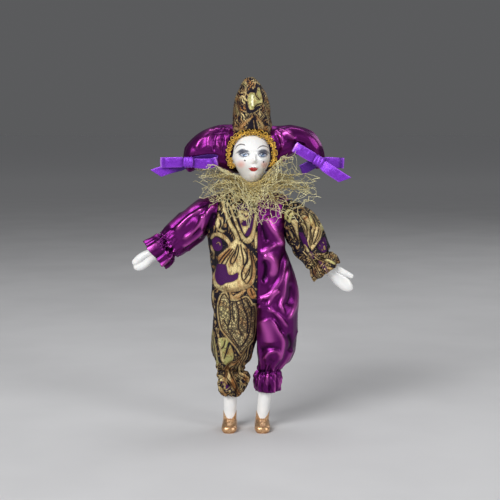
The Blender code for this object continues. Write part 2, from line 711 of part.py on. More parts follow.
def build():
    clear_scene()
    doll = make_collection("pierrot_clown_doll")
    cutters = make_collection("cutters")
    finish = {name: make_material(name) for name in FINISHES}

    # Porcelain head with its neck.
    head = add("head", head_mesh("head"), finish["porcelain"], doll)
    neck = helper(
        "neck",
        cylinder_mesh(
            "neck", NECK_RADIUS, NECK_TOP_OF_SUIT + GAP, 262.0, NECK_X, NECK_Y
        ),
        cutters,
    )
    boolean(head, neck, "UNION")

    # Suit halves, sewn along the centre seam.
    add("suit_right", suit_half("suit_right", -1, RIGHT_HALF, 61.0, -12.0),
        finish["brocade"], doll)
    add("suit_left", suit_half("suit_left", 1, LEFT_HALF, 61.0, 26.0),
        finish["satin"], doll)

    # Sleeves and the hands that stand in their cuffs.
    mesh, pocket, axis = sleeve("sleeve_right", RIGHT_SLEEVE)
    add("sleeve_right", mesh, finish["satin"], doll)
    add("hand_right",
        hand("hand_right", pocket, axis, Vector((-88.2, -9.0, 181.2)),
             Vector((-111.2, -9.5, 168.6)), -1, -9.5),
        finish["porcelain"], doll)
    mesh, pocket, axis = sleeve("sleeve_left", LEFT_SLEEVE)
    add("sleeve_left", mesh, finish["brocade"], doll)
    add("hand_left",
        hand("hand_left", pocket, axis, Vector((88.4, -9.0, 164.6)),
             Vector((110.6, -9.5, 145.0)), 1, -9.5),
        finish["porcelain"], doll)

    # Lower legs with their shoes.
    lower_leg("leg_right", Vector((-11.7, -0.8, 58.2)), Vector((-12.9, 1.6, 10.0)), 0.02,
              doll, cutters, finish["porcelain"])
    lower_leg("leg_left", Vector((25.9, -0.8, 58.2)), Vector((20.2, 1.6, 10.0)), -0.01,
              doll, cutters, finish["porcelain"])

    # Cap: crown, two horns and the braid.
    add("hat_crown", crown_mesh("hat_crown"), finish["brocade"], doll)
    head_room = helper("head_room", head_mesh("head_room", GAP + 0.15), cutters)
    crown_room = helper("crown_room", crown_mesh("crown_room", GAP), cutters)
    for name, rows, side in (
        ("hat_horn_right", RIGHT_HORN, -1), ("hat_horn_left", LEFT_HORN, 1),
    ):
        horn = add(name, horn_mesh(name, rows, side), finish["satin"], doll)
        boolean(horn, head_room, "DIFFERENCE")
        boolean(horn, crown_room, "DIFFERENCE")
    braid_object("hat_trim", finish["braid"], doll)

    # Bows tied on in front of the horn ends.
    bow(
        "bow_right", Vector((-53.0, -17.0, 272.6)),
        [
            (27.0, 2.6, math.radians(180), -1.0, 0.2),
            (28.0, 2.8, math.radians(2), 1.0, 0.8),
        ],
        [
            (((-53.0, 274.0), (-90.6, 265.6), (-80.2, 258.2), (-53.0, 267.5)), -15.6, -13.6),
        ],
        0.0, doll, cutters, finish["ribbon"],
    )
    bow(
        "bow_left", Vector((75.6, -17.0, 273.6)),
        [
            (28.0, 2.6, math.radians(210), -0.5, 0.5),
            (25.0, 2.6, math.radians(2), 1.0, -0.6),
        ],
        [
            (((73.0, 276.5), (107.6, 256.6), (95.2, 252.4), (70.5, 268.0)), -20.4, -20.0),
            (((78.0, 271.5), (62.5, 261.6), (54.6, 269.2), (71.0, 278.0)), -15.4, -13.6),
        ],
        math.radians(30), doll, cutters, finish["ribbon"],
    )

    # Gathered net collar.
    add("ruff", ruff_mesh("ruff"), finish["net"], doll)


build()
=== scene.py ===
"""Looks of the pierrot clown doll: cloth, porcelain, lace, braid and ribbon.

Sizes are in millimetres until a mesh is made. The doll faces -Y, its soles are
on z = 0, and right and left are the doll's own, so its right is at -X.
"""

import math

import bmesh
import bpy
import numpy as np
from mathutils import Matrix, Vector


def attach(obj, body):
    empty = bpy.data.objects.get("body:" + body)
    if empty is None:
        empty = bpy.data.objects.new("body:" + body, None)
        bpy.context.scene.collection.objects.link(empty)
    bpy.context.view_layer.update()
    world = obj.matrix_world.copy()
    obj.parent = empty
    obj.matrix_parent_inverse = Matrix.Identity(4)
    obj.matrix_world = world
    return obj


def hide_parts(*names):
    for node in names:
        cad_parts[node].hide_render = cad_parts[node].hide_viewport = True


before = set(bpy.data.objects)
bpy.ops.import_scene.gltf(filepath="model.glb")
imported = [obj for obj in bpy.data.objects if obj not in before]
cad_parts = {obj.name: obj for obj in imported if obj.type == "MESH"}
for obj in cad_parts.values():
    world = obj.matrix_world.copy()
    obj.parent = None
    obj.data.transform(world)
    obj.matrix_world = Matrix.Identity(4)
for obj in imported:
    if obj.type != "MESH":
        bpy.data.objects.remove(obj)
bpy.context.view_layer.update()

MM = 0.001
TAU = 2 * math.pi
SEAM_X = 14.8
NECK_X, NECK_Y = 9.5, -4.0
SUIT_TOP = 247.0
GATHER_Z = 61.0
HEAD = np.array([9.2, -4.5, 276.9])
HEAD_YAW = math.radians(8.0)
HEAD_ROLL = math.radians(2.0)


# ============================================================ small tools

def table(rows, t):
    """The rows of a table read at t in 0..1, eased without overshoot."""
    rows = np.asarray(rows, float)
    t = np.clip(np.atleast_1d(np.asarray(t, float)), 0, 1)
    place = t * (len(rows) - 1)
    i = np.minimum(place.astype(int), len(rows) - 2)
    u = (place - i)[:, None]
    a, b = rows[np.maximum(i - 1, 0)], rows[i]
    c, d = rows[i + 1], rows[np.minimum(i + 2, len(rows) - 1)]
    left = np.where((b - a) * (c - b) <= 0, 0.0, 0.5 * (c - a))
    right = np.where((c - b) * (d - c) <= 0, 0.0, 0.5 * (d - b))
    limit = 3.0 * np.abs(c - b)
    left, right = np.clip(left, -limit, limit), np.clip(right, -limit, limit)
    return (
        (2 * u**3 - 3 * u**2 + 1) * b + (u**3 - 2 * u**2 + u) * left
        + (3 * u**2 - 2 * u**3) * c + (u**3 - u**2) * right
    )


def spow(value, power):
    return np.sign(value) * np.abs(value) ** power


def step(low, high, x):
    """0 below low, 1 above high, smooth between."""
    t = np.clip((x - low) / (high - low), 0, 1)
    return t * t * (3 - 2 * t)


def gauss(x, middle, spread):
    return np.exp(-(((x - middle) / spread) ** 2))


def waves(points, length, seed, count=14, spread=0.35):
    """Smooth noise of about unit size: a sum of plane waves near one wavelength."""
    rng = np.random.default_rng(seed)
    points = np.asarray(points, float)
    dims = points.shape[-1]
    total = np.zeros(points.shape[:-1])
    for _ in range(count):
        way = rng.normal(size=dims)
        way /= np.linalg.norm(way)
        size = TAU / (length * math.exp(rng.normal() * spread))
        total += np.sin(points @ (way * size) + rng.uniform(0, TAU))
    return total / math.sqrt(count / 2)


def ridges(points, length, seed):
    """Sharp crests with soft valleys, 0 to 1."""
    return np.exp(-1.6 * np.abs(waves(points, length, seed)))


def smooth_line(points, count):
    """A Catmull-Rom line through the given points."""
    p = np.asarray(points, float)
    p = np.vstack([2 * p[0] - p[1], p, 2 * p[-1] - p[-2]])
    t = np.linspace(0, len(p) - 3 - 1e-9, count)
    i = t.astype(int)
    u = (t - i)[:, None]
    a, b, c, d = p[i], p[i + 1], p[i + 2], p[i + 3]
    return 0.5 * (
        2 * b + (c - a) * u + (2 * a - 5 * b + 4 * c - d) * u**2
        + (3 * b - a - 3 * c + d) * u**3
    )


def build_mesh(name, verts, faces):
    """A mesh from an array of points in mm and arrays of quads or triangles."""
    me = bpy.data.meshes.new(name)
    verts = np.asarray(verts, float) * MM
    faces = [np.asarray(f, np.int32) for f in faces if len(f)]
    corners = np.concatenate([f.ravel() for f in faces])
    sizes = np.concatenate([np.full(len(f), f.shape[1]) for f in faces])
    me.vertices.add(len(verts))
    me.vertices.foreach_set("co", verts.astype(np.float32).ravel())
    me.loops.add(len(corners))
    me.loops.foreach_set("vertex_index", corners)
    me.polygons.add(len(sizes))
    starts = np.concatenate([[0], np.cumsum(sizes)[:-1]]).astype(np.int32)
    me.polygons.foreach_set("loop_start", starts)
    me.update(calc_edges=True)
    me.validate()
    me.shade_smooth()
    return me


def put(name, mesh, *materials):
    for material in materials:
        mesh.materials.append(material)
    obj = bpy.data.objects.new(name, mesh)
    bpy.context.scene.collection.objects.link(obj)
    return obj


def attribute(mesh, name, values, kind="FLOAT"):
    layer = mesh.attributes.new(name, kind, "POINT")
    values = np.asarray(values, np.float32)
    field = {"FLOAT": "value", "FLOAT_VECTOR": "vector", "FLOAT_COLOR": "color"}[kind]
    layer.data.foreach_set(field, values.ravel())


def grid_faces(rows, cols, wrap, first=0):
    r = np.arange(rows - 1)[:, None]
    c = np.arange(cols if wrap else cols - 1)[None, :]
    n = (c + 1) % cols
    a, b = r * cols + c, r * cols + n
    d, e = (r + 1) * cols + c, (r + 1) * cols + n
    return first + np.stack([a, b, e, d], -1).reshape(-1, 4)


def fan(ring, middle, flip):
    ring = np.asarray(ring)
    after = np.roll(ring, -1)
    mid = np.full(len(ring), middle)
    return np.stack([after, ring, mid] if flip else [ring, after, mid], -1)


def tube_mesh(name, grid, first_cap=True, last_cap=True, flip=False):
    """A closed tube from a grid of rings, with fanned ends."""
    rows, cols = grid.shape[:2]
    verts = [grid.reshape(-1, 3)]
    quads = grid_faces(rows, cols, True)
    tris = []
    count = rows * cols
    if first_cap:
        verts.append(grid[0].mean(0)[None])
        tris.append(fan(np.arange(cols), count, not flip))
        count += 1
    if last_cap:
        verts.append(grid[-1].mean(0)[None])
        tris.append(fan(np.arange(cols) + (rows - 1) * cols, count, flip))
    if flip:
        quads = quads[:, ::-1]
    tris = np.concatenate(tris) if tris else np.zeros((0, 3), int)
    return build_mesh(name, np.vstack(verts), [quads, tris])


def faces_out(mesh):
    """Turns a closed mesh's faces outwards."""
    mesh.calc_loop_triangles()
    co = np.empty(len(mesh.vertices) * 3)
    mesh.vertices.foreach_get("co", co)
    tri = np.empty(len(mesh.loop_triangles) * 3, np.int32)
    mesh.loop_triangles.foreach_get("vertices", tri)
    p = co.reshape(-1, 3)[tri.reshape(-1, 3)]
    if np.linalg.det(p).sum() < 0:
        mesh.flip_normals()
    return mesh


def grid_normals(grid):
    """Outward unit normals of a ring grid whose columns wrap."""
    around = np.roll(grid, -1, 1) - np.roll(grid, 1, 1)
    along = np.gradient(grid, axis=0)
    n = np.cross(around, along)
    n /= np.linalg.norm(n, axis=-1, keepdims=True) + 1e-9
    centre = grid.mean(1, keepdims=True)
    out = np.sign((n * (grid - centre)).sum(-1).mean())
    return n * out


def coords(mesh):
    co = np.empty(len(mesh.vertices) * 3)
    mesh.vertices.foreach_get("co", co)
    return co.reshape(-1, 3) / MM


def tube_along(path, radius, sides=6, closed=False, flatten=None):
    """Vertices and quads of a thread of the given radius along a path."""
    path = np.asarray(path, float)
    n = len(path)
    if closed:
        way = np.roll(path, -1, 0) - np.roll(path, 1, 0)
    else:
        way = np.gradient(path, axis=0)
    way /= np.linalg.norm(way, axis=1, keepdims=True) + 1e-9
    side = np.cross(way, [0.31, -0.83, 0.46])
    side /= np.linalg.norm(side, axis=1, keepdims=True) + 1e-9
    up = np.cross(side, way)
    a = np.arange(sides) / sides * TAU
    r = np.broadcast_to(np.asarray(radius, float), (n,))[:, None, None]
    ring = np.cos(a)[None, :, None] * side[:, None] + np.sin(a)[None, :, None] * up[:, None]
    verts = (path[:, None] + r * ring).reshape(-1, 3)
    rows = n + 1 if closed else n
    quads = grid_faces(rows, sides, True) % (n * sides)
    return verts, quads


def gather_parts(parts):
    """Joins (verts, faces) pieces, all faces of one kind, into one pair."""
    verts, faces, count = [], [], 0
    for v, f in parts:
        verts.append(v)
        faces.append(np.asarray(f) + count)
        count += len(v)
    return np.vstack(verts), np.vstack(faces)


# ========================================================== materials

class Nodes:
    """Short ways to build a shader tree."""

    def __init__(self, name):
        self.material = bpy.data.materials.new(name)
        self.material.use_nodes = True
        self.tree = self.material.node_tree
        self.shader = self.tree.nodes["Principled BSDF"]

    def new(self, kind, **values):
        node = self.tree.nodes.new(kind)
        for key, value in values.items():
            setattr(node, key, value)
        return node

    def link(self, a, b):
        self.tree.links.new(a, b)

    def feed(self, socket, value):
        if isinstance(value, bpy.types.NodeSocket):
            self.link(value, socket)
        else:
            socket.default_value = value

    def math(self, operation, a, b=0.0, clamp=False):
        node = self.new("ShaderNodeMath", operation=operation, use_clamp=clamp)
        self.feed(node.inputs[0], a)
        self.feed(node.inputs[1], b)
        return node.outputs[0]

    def ramp(self, value, low, high, out_low=0.0, out_high=1.0, smooth=True):
        node = self.new("ShaderNodeMapRange", clamp=True)
        node.interpolation_type = "SMOOTHSTEP" if smooth else "LINEAR"
        self.feed(node.inputs["Value"], value)
        for key, number in (("From Min", low), ("From Max", high), ("To Min", out_low), ("To Max", out_high)):
            node.inputs[key].default_value = number
        return node.outputs["Result"]

    def mix(self, share, a, b, blend="MIX"):
        node = self.new("ShaderNodeMix", data_type="RGBA", blend_type=blend)
        self.feed(node.inputs[0], share)
        for socket, value in ((node.inputs[6], a), (node.inputs[7], b)):
            self.feed(socket, (*value, 1.0) if isinstance(value, tuple) and len(value) == 3 else value)
        return node.outputs[2]

    def attr(self, name, out="Fac"):
        return self.new("ShaderNodeAttribute", attribute_name=name).outputs[out]

    def noise(self, vector, scale, detail=2.0, rough=0.5, out=0):
        node = self.new("ShaderNodeTexNoise")
        self.feed(node.inputs["Vector"], vector)
        node.inputs["Scale"].default_value = scale
        node.inputs["Detail"].default_value = detail
        node.inputs["Roughness"].default_value = rough
        return node.outputs[out]

    def voronoi(self, vector, scale, feature="F1", out="Distance", randomness=1.0):
        node = self.new("ShaderNodeTexVoronoi", feature=feature)
        self.feed(node.inputs["Vector"], vector)
        node.inputs["Scale"].default_value = scale
        node.inputs["Randomness"].default_value = randomness
        return node.outputs[out]

    def scale(self, vector, x, y, z):
        node = self.new("ShaderNodeVectorMath", operation="MULTIPLY")
        self.feed(node.inputs[0], vector)
        node.inputs[1].default_value = (x, y, z)
        return node.outputs[0]

    def split(self, vector):
        node = self.new("ShaderNodeSeparateXYZ")
        self.feed(node.inputs[0], vector)
        return node.outputs

    def bump(self, height, strength, distance, normal=None):
        node = self.new("ShaderNodeBump")
        node.inputs["Strength"].default_value = strength
        node.inputs["Distance"].default_value = distance
        self.feed(node.inputs["Height"], height)
        if normal is not None:
            self.link(normal, node.inputs["Normal"])
        return node.outputs[0]

    def set(self, **values):
        for key, value in values.items():
            self.feed(self.shader.inputs[key.replace("_", " ")], value)
        return self


def position(nodes):
    """The object's own coordinates in mm."""
    where = nodes.new("ShaderNodeTexCoord").outputs["Object"]
    return nodes.scale(where, 1000.0, 1000.0, 1000.0)


def porcelain_material(name, painted=None):
    n = Nodes(name)
    where = position(n)
    mottled = n.noise(where, 0.09, 3.0)
    white = n.mix(n.ramp(mottled, 0.35, 0.7), (0.84, 0.845, 0.84), (0.90, 0.89, 0.865))
    rough = n.ramp(n.noise(where, 0.5, 3.0), 0.3, 0.7, 0.10, 0.18)
    if painted == "face":
        white = n.mix(n.attr("paint", "Alpha"), white, n.attr("paint", "Color"))
        rough = n.math("ADD", rough, n.math("MULTIPLY", n.attr("paint", "Alpha"), 0.14))
    n.set(
        Base_Color=white, Roughness=rough, IOR=1.5, Subsurface_Weight=0.08,
        Subsurface_Scale=0.002, Coat_Weight=0.35, Coat_Roughness=0.06,
        Normal=n.bump(n.noise(where, 0.35, 2.0), 0.10, 0.0004),
    )
    n.shader.inputs["Subsurface Radius"].default_value = (1.0, 0.7, 0.5)
    return n.material


def leg_material():
    n = Nodes("porcelain_leg")
    where = position(n)
    mottled = n.noise(where, 0.09, 3.0)
    white = n.mix(n.ramp(mottled, 0.35, 0.7), (0.84, 0.845, 0.84), (0.90, 0.89, 0.865))
    shoe = n.ramp(n.attr("shoe"), -0.12, 0.12)
    brush = n.noise(n.scale(where, 1.0, 0.35, 1.0), 0.9, 4.0, 0.6)
    gold = n.mix(n.ramp(brush, 0.3, 0.75), (0.58, 0.30, 0.13), (0.86, 0.58, 0.33))
    # Darker gold along the sole and round the edge of the opening.
    darker_gold = n.ramp(n.attr("darker_gold"), 0.0, 1.0)
    gold = n.mix(darker_gold, gold, (0.42, 0.20, 0.09))
    n.set(
        Base_Color=n.mix(shoe, white, gold),
        Metallic=n.math("MULTIPLY", shoe, 0.72),
        Roughness=n.math("ADD", 0.13, n.math("MULTIPLY", shoe, n.ramp(brush, 0.2, 0.8, 0.12, 0.26))),
        Coat_Weight=0.3, Coat_Roughness=0.08,
        Normal=n.bump(brush, 0.14, 0.0004),
    )
    return n.material


def satin_material(name, deep, body, painted_highlight):
    """Shiny acetate satin: long floats along the cloth, colour kept in the shine, with painted shade in its creases and
    painted highlights on its crests.
    """
    n = Nodes(name)
    cloth = n.attr("cloth", "Vector")
    x, y, _ = n.split(cloth)
    threads = n.noise(n.scale(cloth, 9.0, 0.55, 1.0), 1.0, 3.0, 0.6)
    slub = n.noise(n.scale(cloth, 0.35, 0.05, 1.0), 1.0, 3.0)
    weave = n.math("SINE", n.math("MULTIPLY", x, TAU / 0.30))
    tone = n.math("ADD", n.math("MULTIPLY", threads, 0.6), n.math("MULTIPLY", slub, 0.4))
    painted_crease_light = n.attr("painted_crease_light")
    colour = n.mix(n.ramp(tone, 0.30, 0.70, 0.0, 0.35), body, deep)
    # Painted shade darkens the creases, and a painted highlight lightens the crests.
    colour = n.mix(n.ramp(painted_crease_light, 0.05, 0.95), colour, deep)
    colour = n.mix(n.ramp(n.math("MULTIPLY", painted_crease_light, -1.0), 0.10, 0.95), colour, painted_highlight)
    height = n.math("ADD", n.math("MULTIPLY", threads, 0.7), n.math("MULTIPLY", weave, 0.12))
    n.set(
        Base_Color=colour, Metallic=0.90, Roughness=n.ramp(threads, 0.3, 0.7, 0.29, 0.36),
        Anisotropic=0.35, Specular_IOR_Level=0.5, Normal=n.bump(height, 0.14, 0.00012),
    )
    return n.material


def ribbon_material():
    n = Nodes("ribbon_satin")
    cloth = n.attr("cloth", "Vector")
    # The cloth's third value is painted light along the ribbon: positive for painted shade, negative for a painted
    # highlight.
    x, y, bend = n.split(cloth)
    ribs = n.math("SINE", n.math("MULTIPLY", y, TAU / 0.42))
    threads = n.noise(n.scale(cloth, 5.0, 1.0, 1.0), 1.0, 3.0, 0.6)
    edge = n.ramp(n.math("ABSOLUTE", x), 4.25, 4.55)
    colour = n.mix(n.ramp(threads, 0.3, 0.7), (0.180, 0.018, 0.49), (0.290, 0.046, 0.74))
    colour = n.mix(n.math("MULTIPLY", edge, 0.7), colour, (0.42, 0.11, 0.86))
    # Painted shade towards the dark colour, then a painted highlight towards the pale one.
    colour = n.mix(n.ramp(bend, 0.0, 1.0), colour, (0.045, 0.004, 0.150))
    colour = n.mix(n.ramp(n.math("MULTIPLY", bend, -1.0), 0.0, 1.0), colour, (0.60, 0.25, 0.96))
    height = n.math("ADD", n.math("MULTIPLY", ribs, 0.35), n.math("MULTIPLY", edge, 1.2))
    n.set(
        Base_Color=colour, Roughness=0.34, Metallic=0.45, Anisotropic=0.5,
        Sheen_Weight=0.12, Sheen_Roughness=0.35, Normal=n.bump(height, 0.35, 0.00015),
    )
    n.shader.inputs["Sheen Tint"].default_value = (0.60, 0.30, 1.0, 1.0)
    return n.material


def thread_material(name, dark, light, metallic):
    n = Nodes(name)
    where = position(n)
    tone = n.noise(where, 0.55, 4.0, 0.6)
    twist = n.noise(n.scale(where, 6.0, 6.0, 14.0), 1.0, 2.0)
    n.set(
        Base_Color=n.mix(n.ramp(tone, 0.3, 0.7), dark, light),
        Metallic=metallic, Roughness=n.ramp(twist, 0.3, 0.7, 0.26, 0.48), Sheen_Weight=0.2,
        Normal=n.bump(twist, 0.5, 0.0002),
    )
    return n.material


def brocade_material():
    """Metal-thread brocade: gold motifs with black outlines on black and purple."""
    n = Nodes("brocade")
    cloth = n.attr("cloth", "Vector")
    x, y, _ = n.split(cloth)
    gold = n.ramp(n.attr("gold"), -0.22, 0.22)
    line = n.ramp(n.attr("line"), -0.16, 0.16)
    purple = n.ramp(n.attr("purple"), -0.25, 0.25)
    stipple = n.ramp(n.attr("stipple"), 0.3, 0.7)
    tint = n.attr("tint")

    # Little dark worms over the gold, as iso-lines of a warped noise.
    warp = n.noise(cloth, 0.35, 2.0, 0.5, out=1)
    bent = n.new("ShaderNodeVectorMath", operation="MULTIPLY_ADD")
    n.link(warp, bent.inputs[0])
    bent.inputs[1].default_value = (1.6, 1.6, 0.0)
    n.link(cloth, bent.inputs[2])
    bent = n.scale(bent.outputs[0], 1.0, 0.62, 1.0)
    cells = n.voronoi(bent, 0.50, "DISTANCE_TO_EDGE")
    islands = n.ramp(cells, 0.09, 0.16)
    veins = n.ramp(n.math("ABSOLUTE", n.math("SUBTRACT", n.noise(bent, 0.42, 0.0), 0.5)), 0.018, 0.045)
    worms = n.math("MULTIPLY", n.math("SUBTRACT", 1.0, n.math("MULTIPLY", islands, veins)), n.math("MULTIPLY", stipple, 0.92))

    # Thread tones along the weft, which breaks the metal yarn into short glints.
    yarn = n.noise(n.scale(cloth, 1.6, 7.5, 1.0), 1.0, 2.0, 0.7)
    patch = n.noise(cloth, 0.11, 3.0, 0.55)
    weft = n.math("SINE", n.math("MULTIPLY", y, TAU / 0.36))
    warp_line = n.math("SINE", n.math("MULTIPLY", n.math("ADD", x, n.math("MULTIPLY", y, 0.5)), TAU / 0.50))

    grit = n.noise(n.scale(cloth, 1.0, 1.7, 1.0), 0.85, 2.0, 0.6)
    pale, old = (0.82, 0.70, 0.37), (0.44, 0.30, 0.105)
    copper, olive = (0.36, 0.145, 0.045), (0.50, 0.49, 0.17)
    metal = n.mix(n.ramp(n.math("ADD", n.math("MULTIPLY", yarn, 0.55), n.math("MULTIPLY", grit, 0.45)), 0.36, 0.58), old, pale)
    metal = n.mix(n.ramp(tint, 0.10, 1.0), metal, n.mix(n.ramp(grit, 0.40, 0.62), (0.22, 0.075, 0.022), (0.52, 0.27, 0.10)))
    metal = n.mix(n.ramp(n.math("MULTIPLY", tint, -1.0), 0.10, 1.0), metal, n.mix(n.ramp(yarn, 0.3, 0.7), (0.30, 0.29, 0.085), (0.66, 0.64, 0.27)))
    metal = n.mix(n.math("MULTIPLY", n.ramp(patch, 0.48, 0.66), 0.55), metal, copper)
    # Painted highlight: the palest tint, used in the crown's pale leaves, turns nearly white.
    metal = n.mix(n.ramp(n.math("MULTIPLY", tint, -1.0), 1.1, 2.0), metal, (0.95, 0.93, 0.62))
    # A motif is palest in its middle and darkens to old gold along its outline, a painted shade on its raised, rounded
    # edges.
    rim = n.ramp(n.attr("gold"), 0.15, 1.25)
    metal = n.mix(rim, n.mix(0.55, metal, (0.20, 0.105, 0.03)), metal)
    black = n.mix(n.ramp(yarn, 0.3, 0.7), (0.003, 0.002, 0.005), (0.013, 0.008, 0.020))
    violet = n.mix(n.ramp(yarn, 0.3, 0.7), (0.028, 0.002, 0.042), (0.082, 0.010, 0.112))
    ground = n.mix(purple, black, violet)
    # Fine brown veins, as if engraved, wander over the gold.
    drift = n.noise(n.scale(cloth, 1.0, 0.40, 1.0), 0.20, 2.0, 0.5)
    engraved = n.ramp(n.math("ABSOLUTE", n.math("SUBTRACT", n.math("FRACT", n.math("MULTIPLY", drift, 6.0)), 0.5)), 0.06, 0.20)
    some = n.ramp(n.noise(cloth, 0.16, 2.0), 0.40, 0.60)
    metal = n.mix(n.math("MULTIPLY", n.math("SUBTRACT", 1.0, engraved), n.math("ADD", 0.25, n.math("MULTIPLY", some, 0.5))), metal, (0.095, 0.045, 0.014))
    # Single gold threads that float over the dark ground.
    stray = n.math("MULTIPLY", n.ramp(grit, 0.60, 0.68), n.ramp(yarn, 0.55, 0.7))
    ground = n.mix(n.math("MULTIPLY", stray, 0.55), ground, (0.42, 0.30, 0.12))
    shown = n.math("MULTIPLY", gold, n.math("SUBTRACT", 1.0, line))
    shown = n.math("MULTIPLY", shown, n.math("SUBTRACT", 1.0, n.math("MULTIPLY", worms, 0.88)))
    colour = n.mix(shown, ground, metal)
    # Painted shade darkens the cloth in its creases, at the seam and inside its hems.
    shade = n.ramp(n.attr("painted_crease_light"), 0.0, 1.0)
    colour = n.mix(n.math("MULTIPLY", shade, 0.75), colour, (0.012, 0.008, 0.010))

    height = n.math("MULTIPLY", shown, 0.9)
    height = n.math("ADD", height, n.math("MULTIPLY", weft, 0.10))
    height = n.math("ADD", height, n.math("MULTIPLY", warp_line, 0.06))
    height = n.math("ADD", height, n.math("MULTIPLY", yarn, 0.45))
    n.set(
        Base_Color=colour,
        Metallic=n.math("ADD", 0.05, n.math("MULTIPLY", shown, 0.40)),
        Roughness=n.math("SUBTRACT", 0.50, n.math("MULTIPLY", shown, 0.15)),
        Specular_IOR_Level=0.16, Normal=n.bump(height, 0.8, 0.00034),
    )
    return n.material


# ====================================================== soft bodies

SIM_SCALE = 12.0


def settle(grid, hold, frames, grow, bend, seed=0, goal=0.06, press=0.0, cap=2.6, calm=1):
    """Lets the cloth of a ring grid buckle. The cloth is longer than its shape by
    grow, is held fully where hold is 1 and softly elsewhere, and no point moves by
    more than cap mm. Each round of calm melts the smallest dents into broad folds.
    Returns the buckled grid."""
    rows, cols = grid.shape[:2]
    normals = grid_normals(grid)
    start = grid + normals * (0.12 * waves(grid, 9.0, seed))[..., None] * (1 - hold)[..., None]
    mesh = tube_mesh("cloth_work", start * SIM_SCALE, True, True)
    faces_out(mesh)
    obj = put("cloth_work", mesh)
    group = obj.vertex_groups.new(name="hold")
    weight = np.clip(goal + (1 - goal) * hold, 0, 1).ravel()
    weight = np.concatenate([weight, [1.0, 1.0]])
    for level in np.unique(np.round(weight, 2)):
        index = np.nonzero(np.round(weight, 2) == level)[0]
        group.add(index.tolist(), float(level), "REPLACE")
    cloth = obj.modifiers.new("cloth", "CLOTH")
    s = cloth.settings
    s.quality = 4
    s.mass = 0.2
    s.tension_stiffness = s.compression_stiffness = 12.0
    s.shear_stiffness = 4.0
    s.bending_stiffness = bend
    s.tension_damping = s.compression_damping = s.shear_damping = 6.0
    s.bending_damping = 0.6
    s.air_damping = 2.0
    s.vertex_group_mass = "hold"
    s.pin_stiffness = 1.0
    s.shrink_min = s.shrink_max = -grow
    if press:
        s.use_pressure = True
        s.uniform_pressure_force = press
    s.effector_weights.gravity = 0.0
    cloth.collision_settings.use_collision = False
    cloth.collision_settings.use_self_collision = False
    cloth.point_cache.frame_start = 1
    cloth.point_cache.frame_end = frames
    scene = bpy.context.scene
    for number in range(1, frames + 1):
        scene.frame_set(number)
    graph = bpy.context.evaluated_depsgraph_get()
    shown = obj.evaluated_get(graph)
    moved = np.empty(len(shown.data.vertices) * 3)
    shown.data.vertices.foreach_get("co", moved)
    moved = moved.reshape(-1, 3)[: rows * cols].reshape(rows, cols, 3) / MM / SIM_SCALE
    bpy.data.objects.remove(obj, do_unlink=True)
    bpy.data.meshes.remove(mesh)
    scene.frame_set(1)
    shift = moved - grid
    for _ in range(calm):
        shift = (np.roll(shift, 1, 1) + 2 * shift + np.roll(shift, -1, 1)) / 4
        padded = np.concatenate([shift[:1], shift, shift[-1:]])
        shift = (padded[:-2] + 2 * shift + padded[2:]) / 4
    size = np.linalg.norm(shift, axis=-1, keepdims=True)
    return grid + shift * (cap * np.tanh(size / cap) / (size + 1e-9))


def refine(grid, factor=2, wrap=True):
    """A finer ring grid by cubic interpolation both ways."""
    def along(values, periodic):
        n = len(values)
        count = n * factor if periodic else (n - 1) * factor + 1
        t = np.arange(count) / factor
        i = np.minimum(t.astype(int), n - 1 if periodic else n - 2)
        u = (t - i).reshape((-1,) + (1,) * (values.ndim - 1))

        def at(k):
            return values[k % n] if periodic else values[np.clip(k, 0, n - 1)]

        a, b, c, d = at(i - 1), at(i), at(i + 1), at(i + 2)
        return 0.5 * (2 * b + (c - a) * u + (2 * a - 5 * b + 4 * c - d) * u**2 + (3 * b - a - 3 * c + d) * u**3)

    grid = along(grid, False)
    return np.swapaxes(along(np.swapaxes(grid, 0, 1), wrap), 0, 1)


# ====================================================== ornament shapes

def stroke(u, v, points, radius, count=None):
    """How deep a point lies inside a band along a smooth line, in mm."""
    line = smooth_line(points, count or 5 * len(points))
    sizes = np.broadcast_to(np.asarray(radius, float), (len(points),)) if np.ndim(radius) else np.full(len(points), float(radius))
    sizes = np.interp(np.linspace(0, 1, len(line)), np.linspace(0, 1, len(sizes)), sizes)
    best = np.full(u.shape, -4.0)
    low, high = line.min(0) - sizes.max() - 3, line.max(0) + sizes.max() + 3
    near = (u > low[0]) & (u < high[0]) & (v > low[1]) & (v < high[1])
    if not near.any():
        return best
    p, q = u[near], v[near]
    found = np.full(p.shape, -4.0)
    for a, b, ra, rb in zip(line[:-1], line[1:], sizes[:-1], sizes[1:]):
        w = b - a
        t = np.clip(((p - a[0]) * w[0] + (q - a[1]) * w[1]) / (w @ w + 1e-9), 0, 1)
        d = np.hypot(p - a[0] - t * w[0], q - a[1] - t * w[1])
        np.maximum(found, ra + (rb - ra) * t - d, out=found)
    best[near] = found
    return best


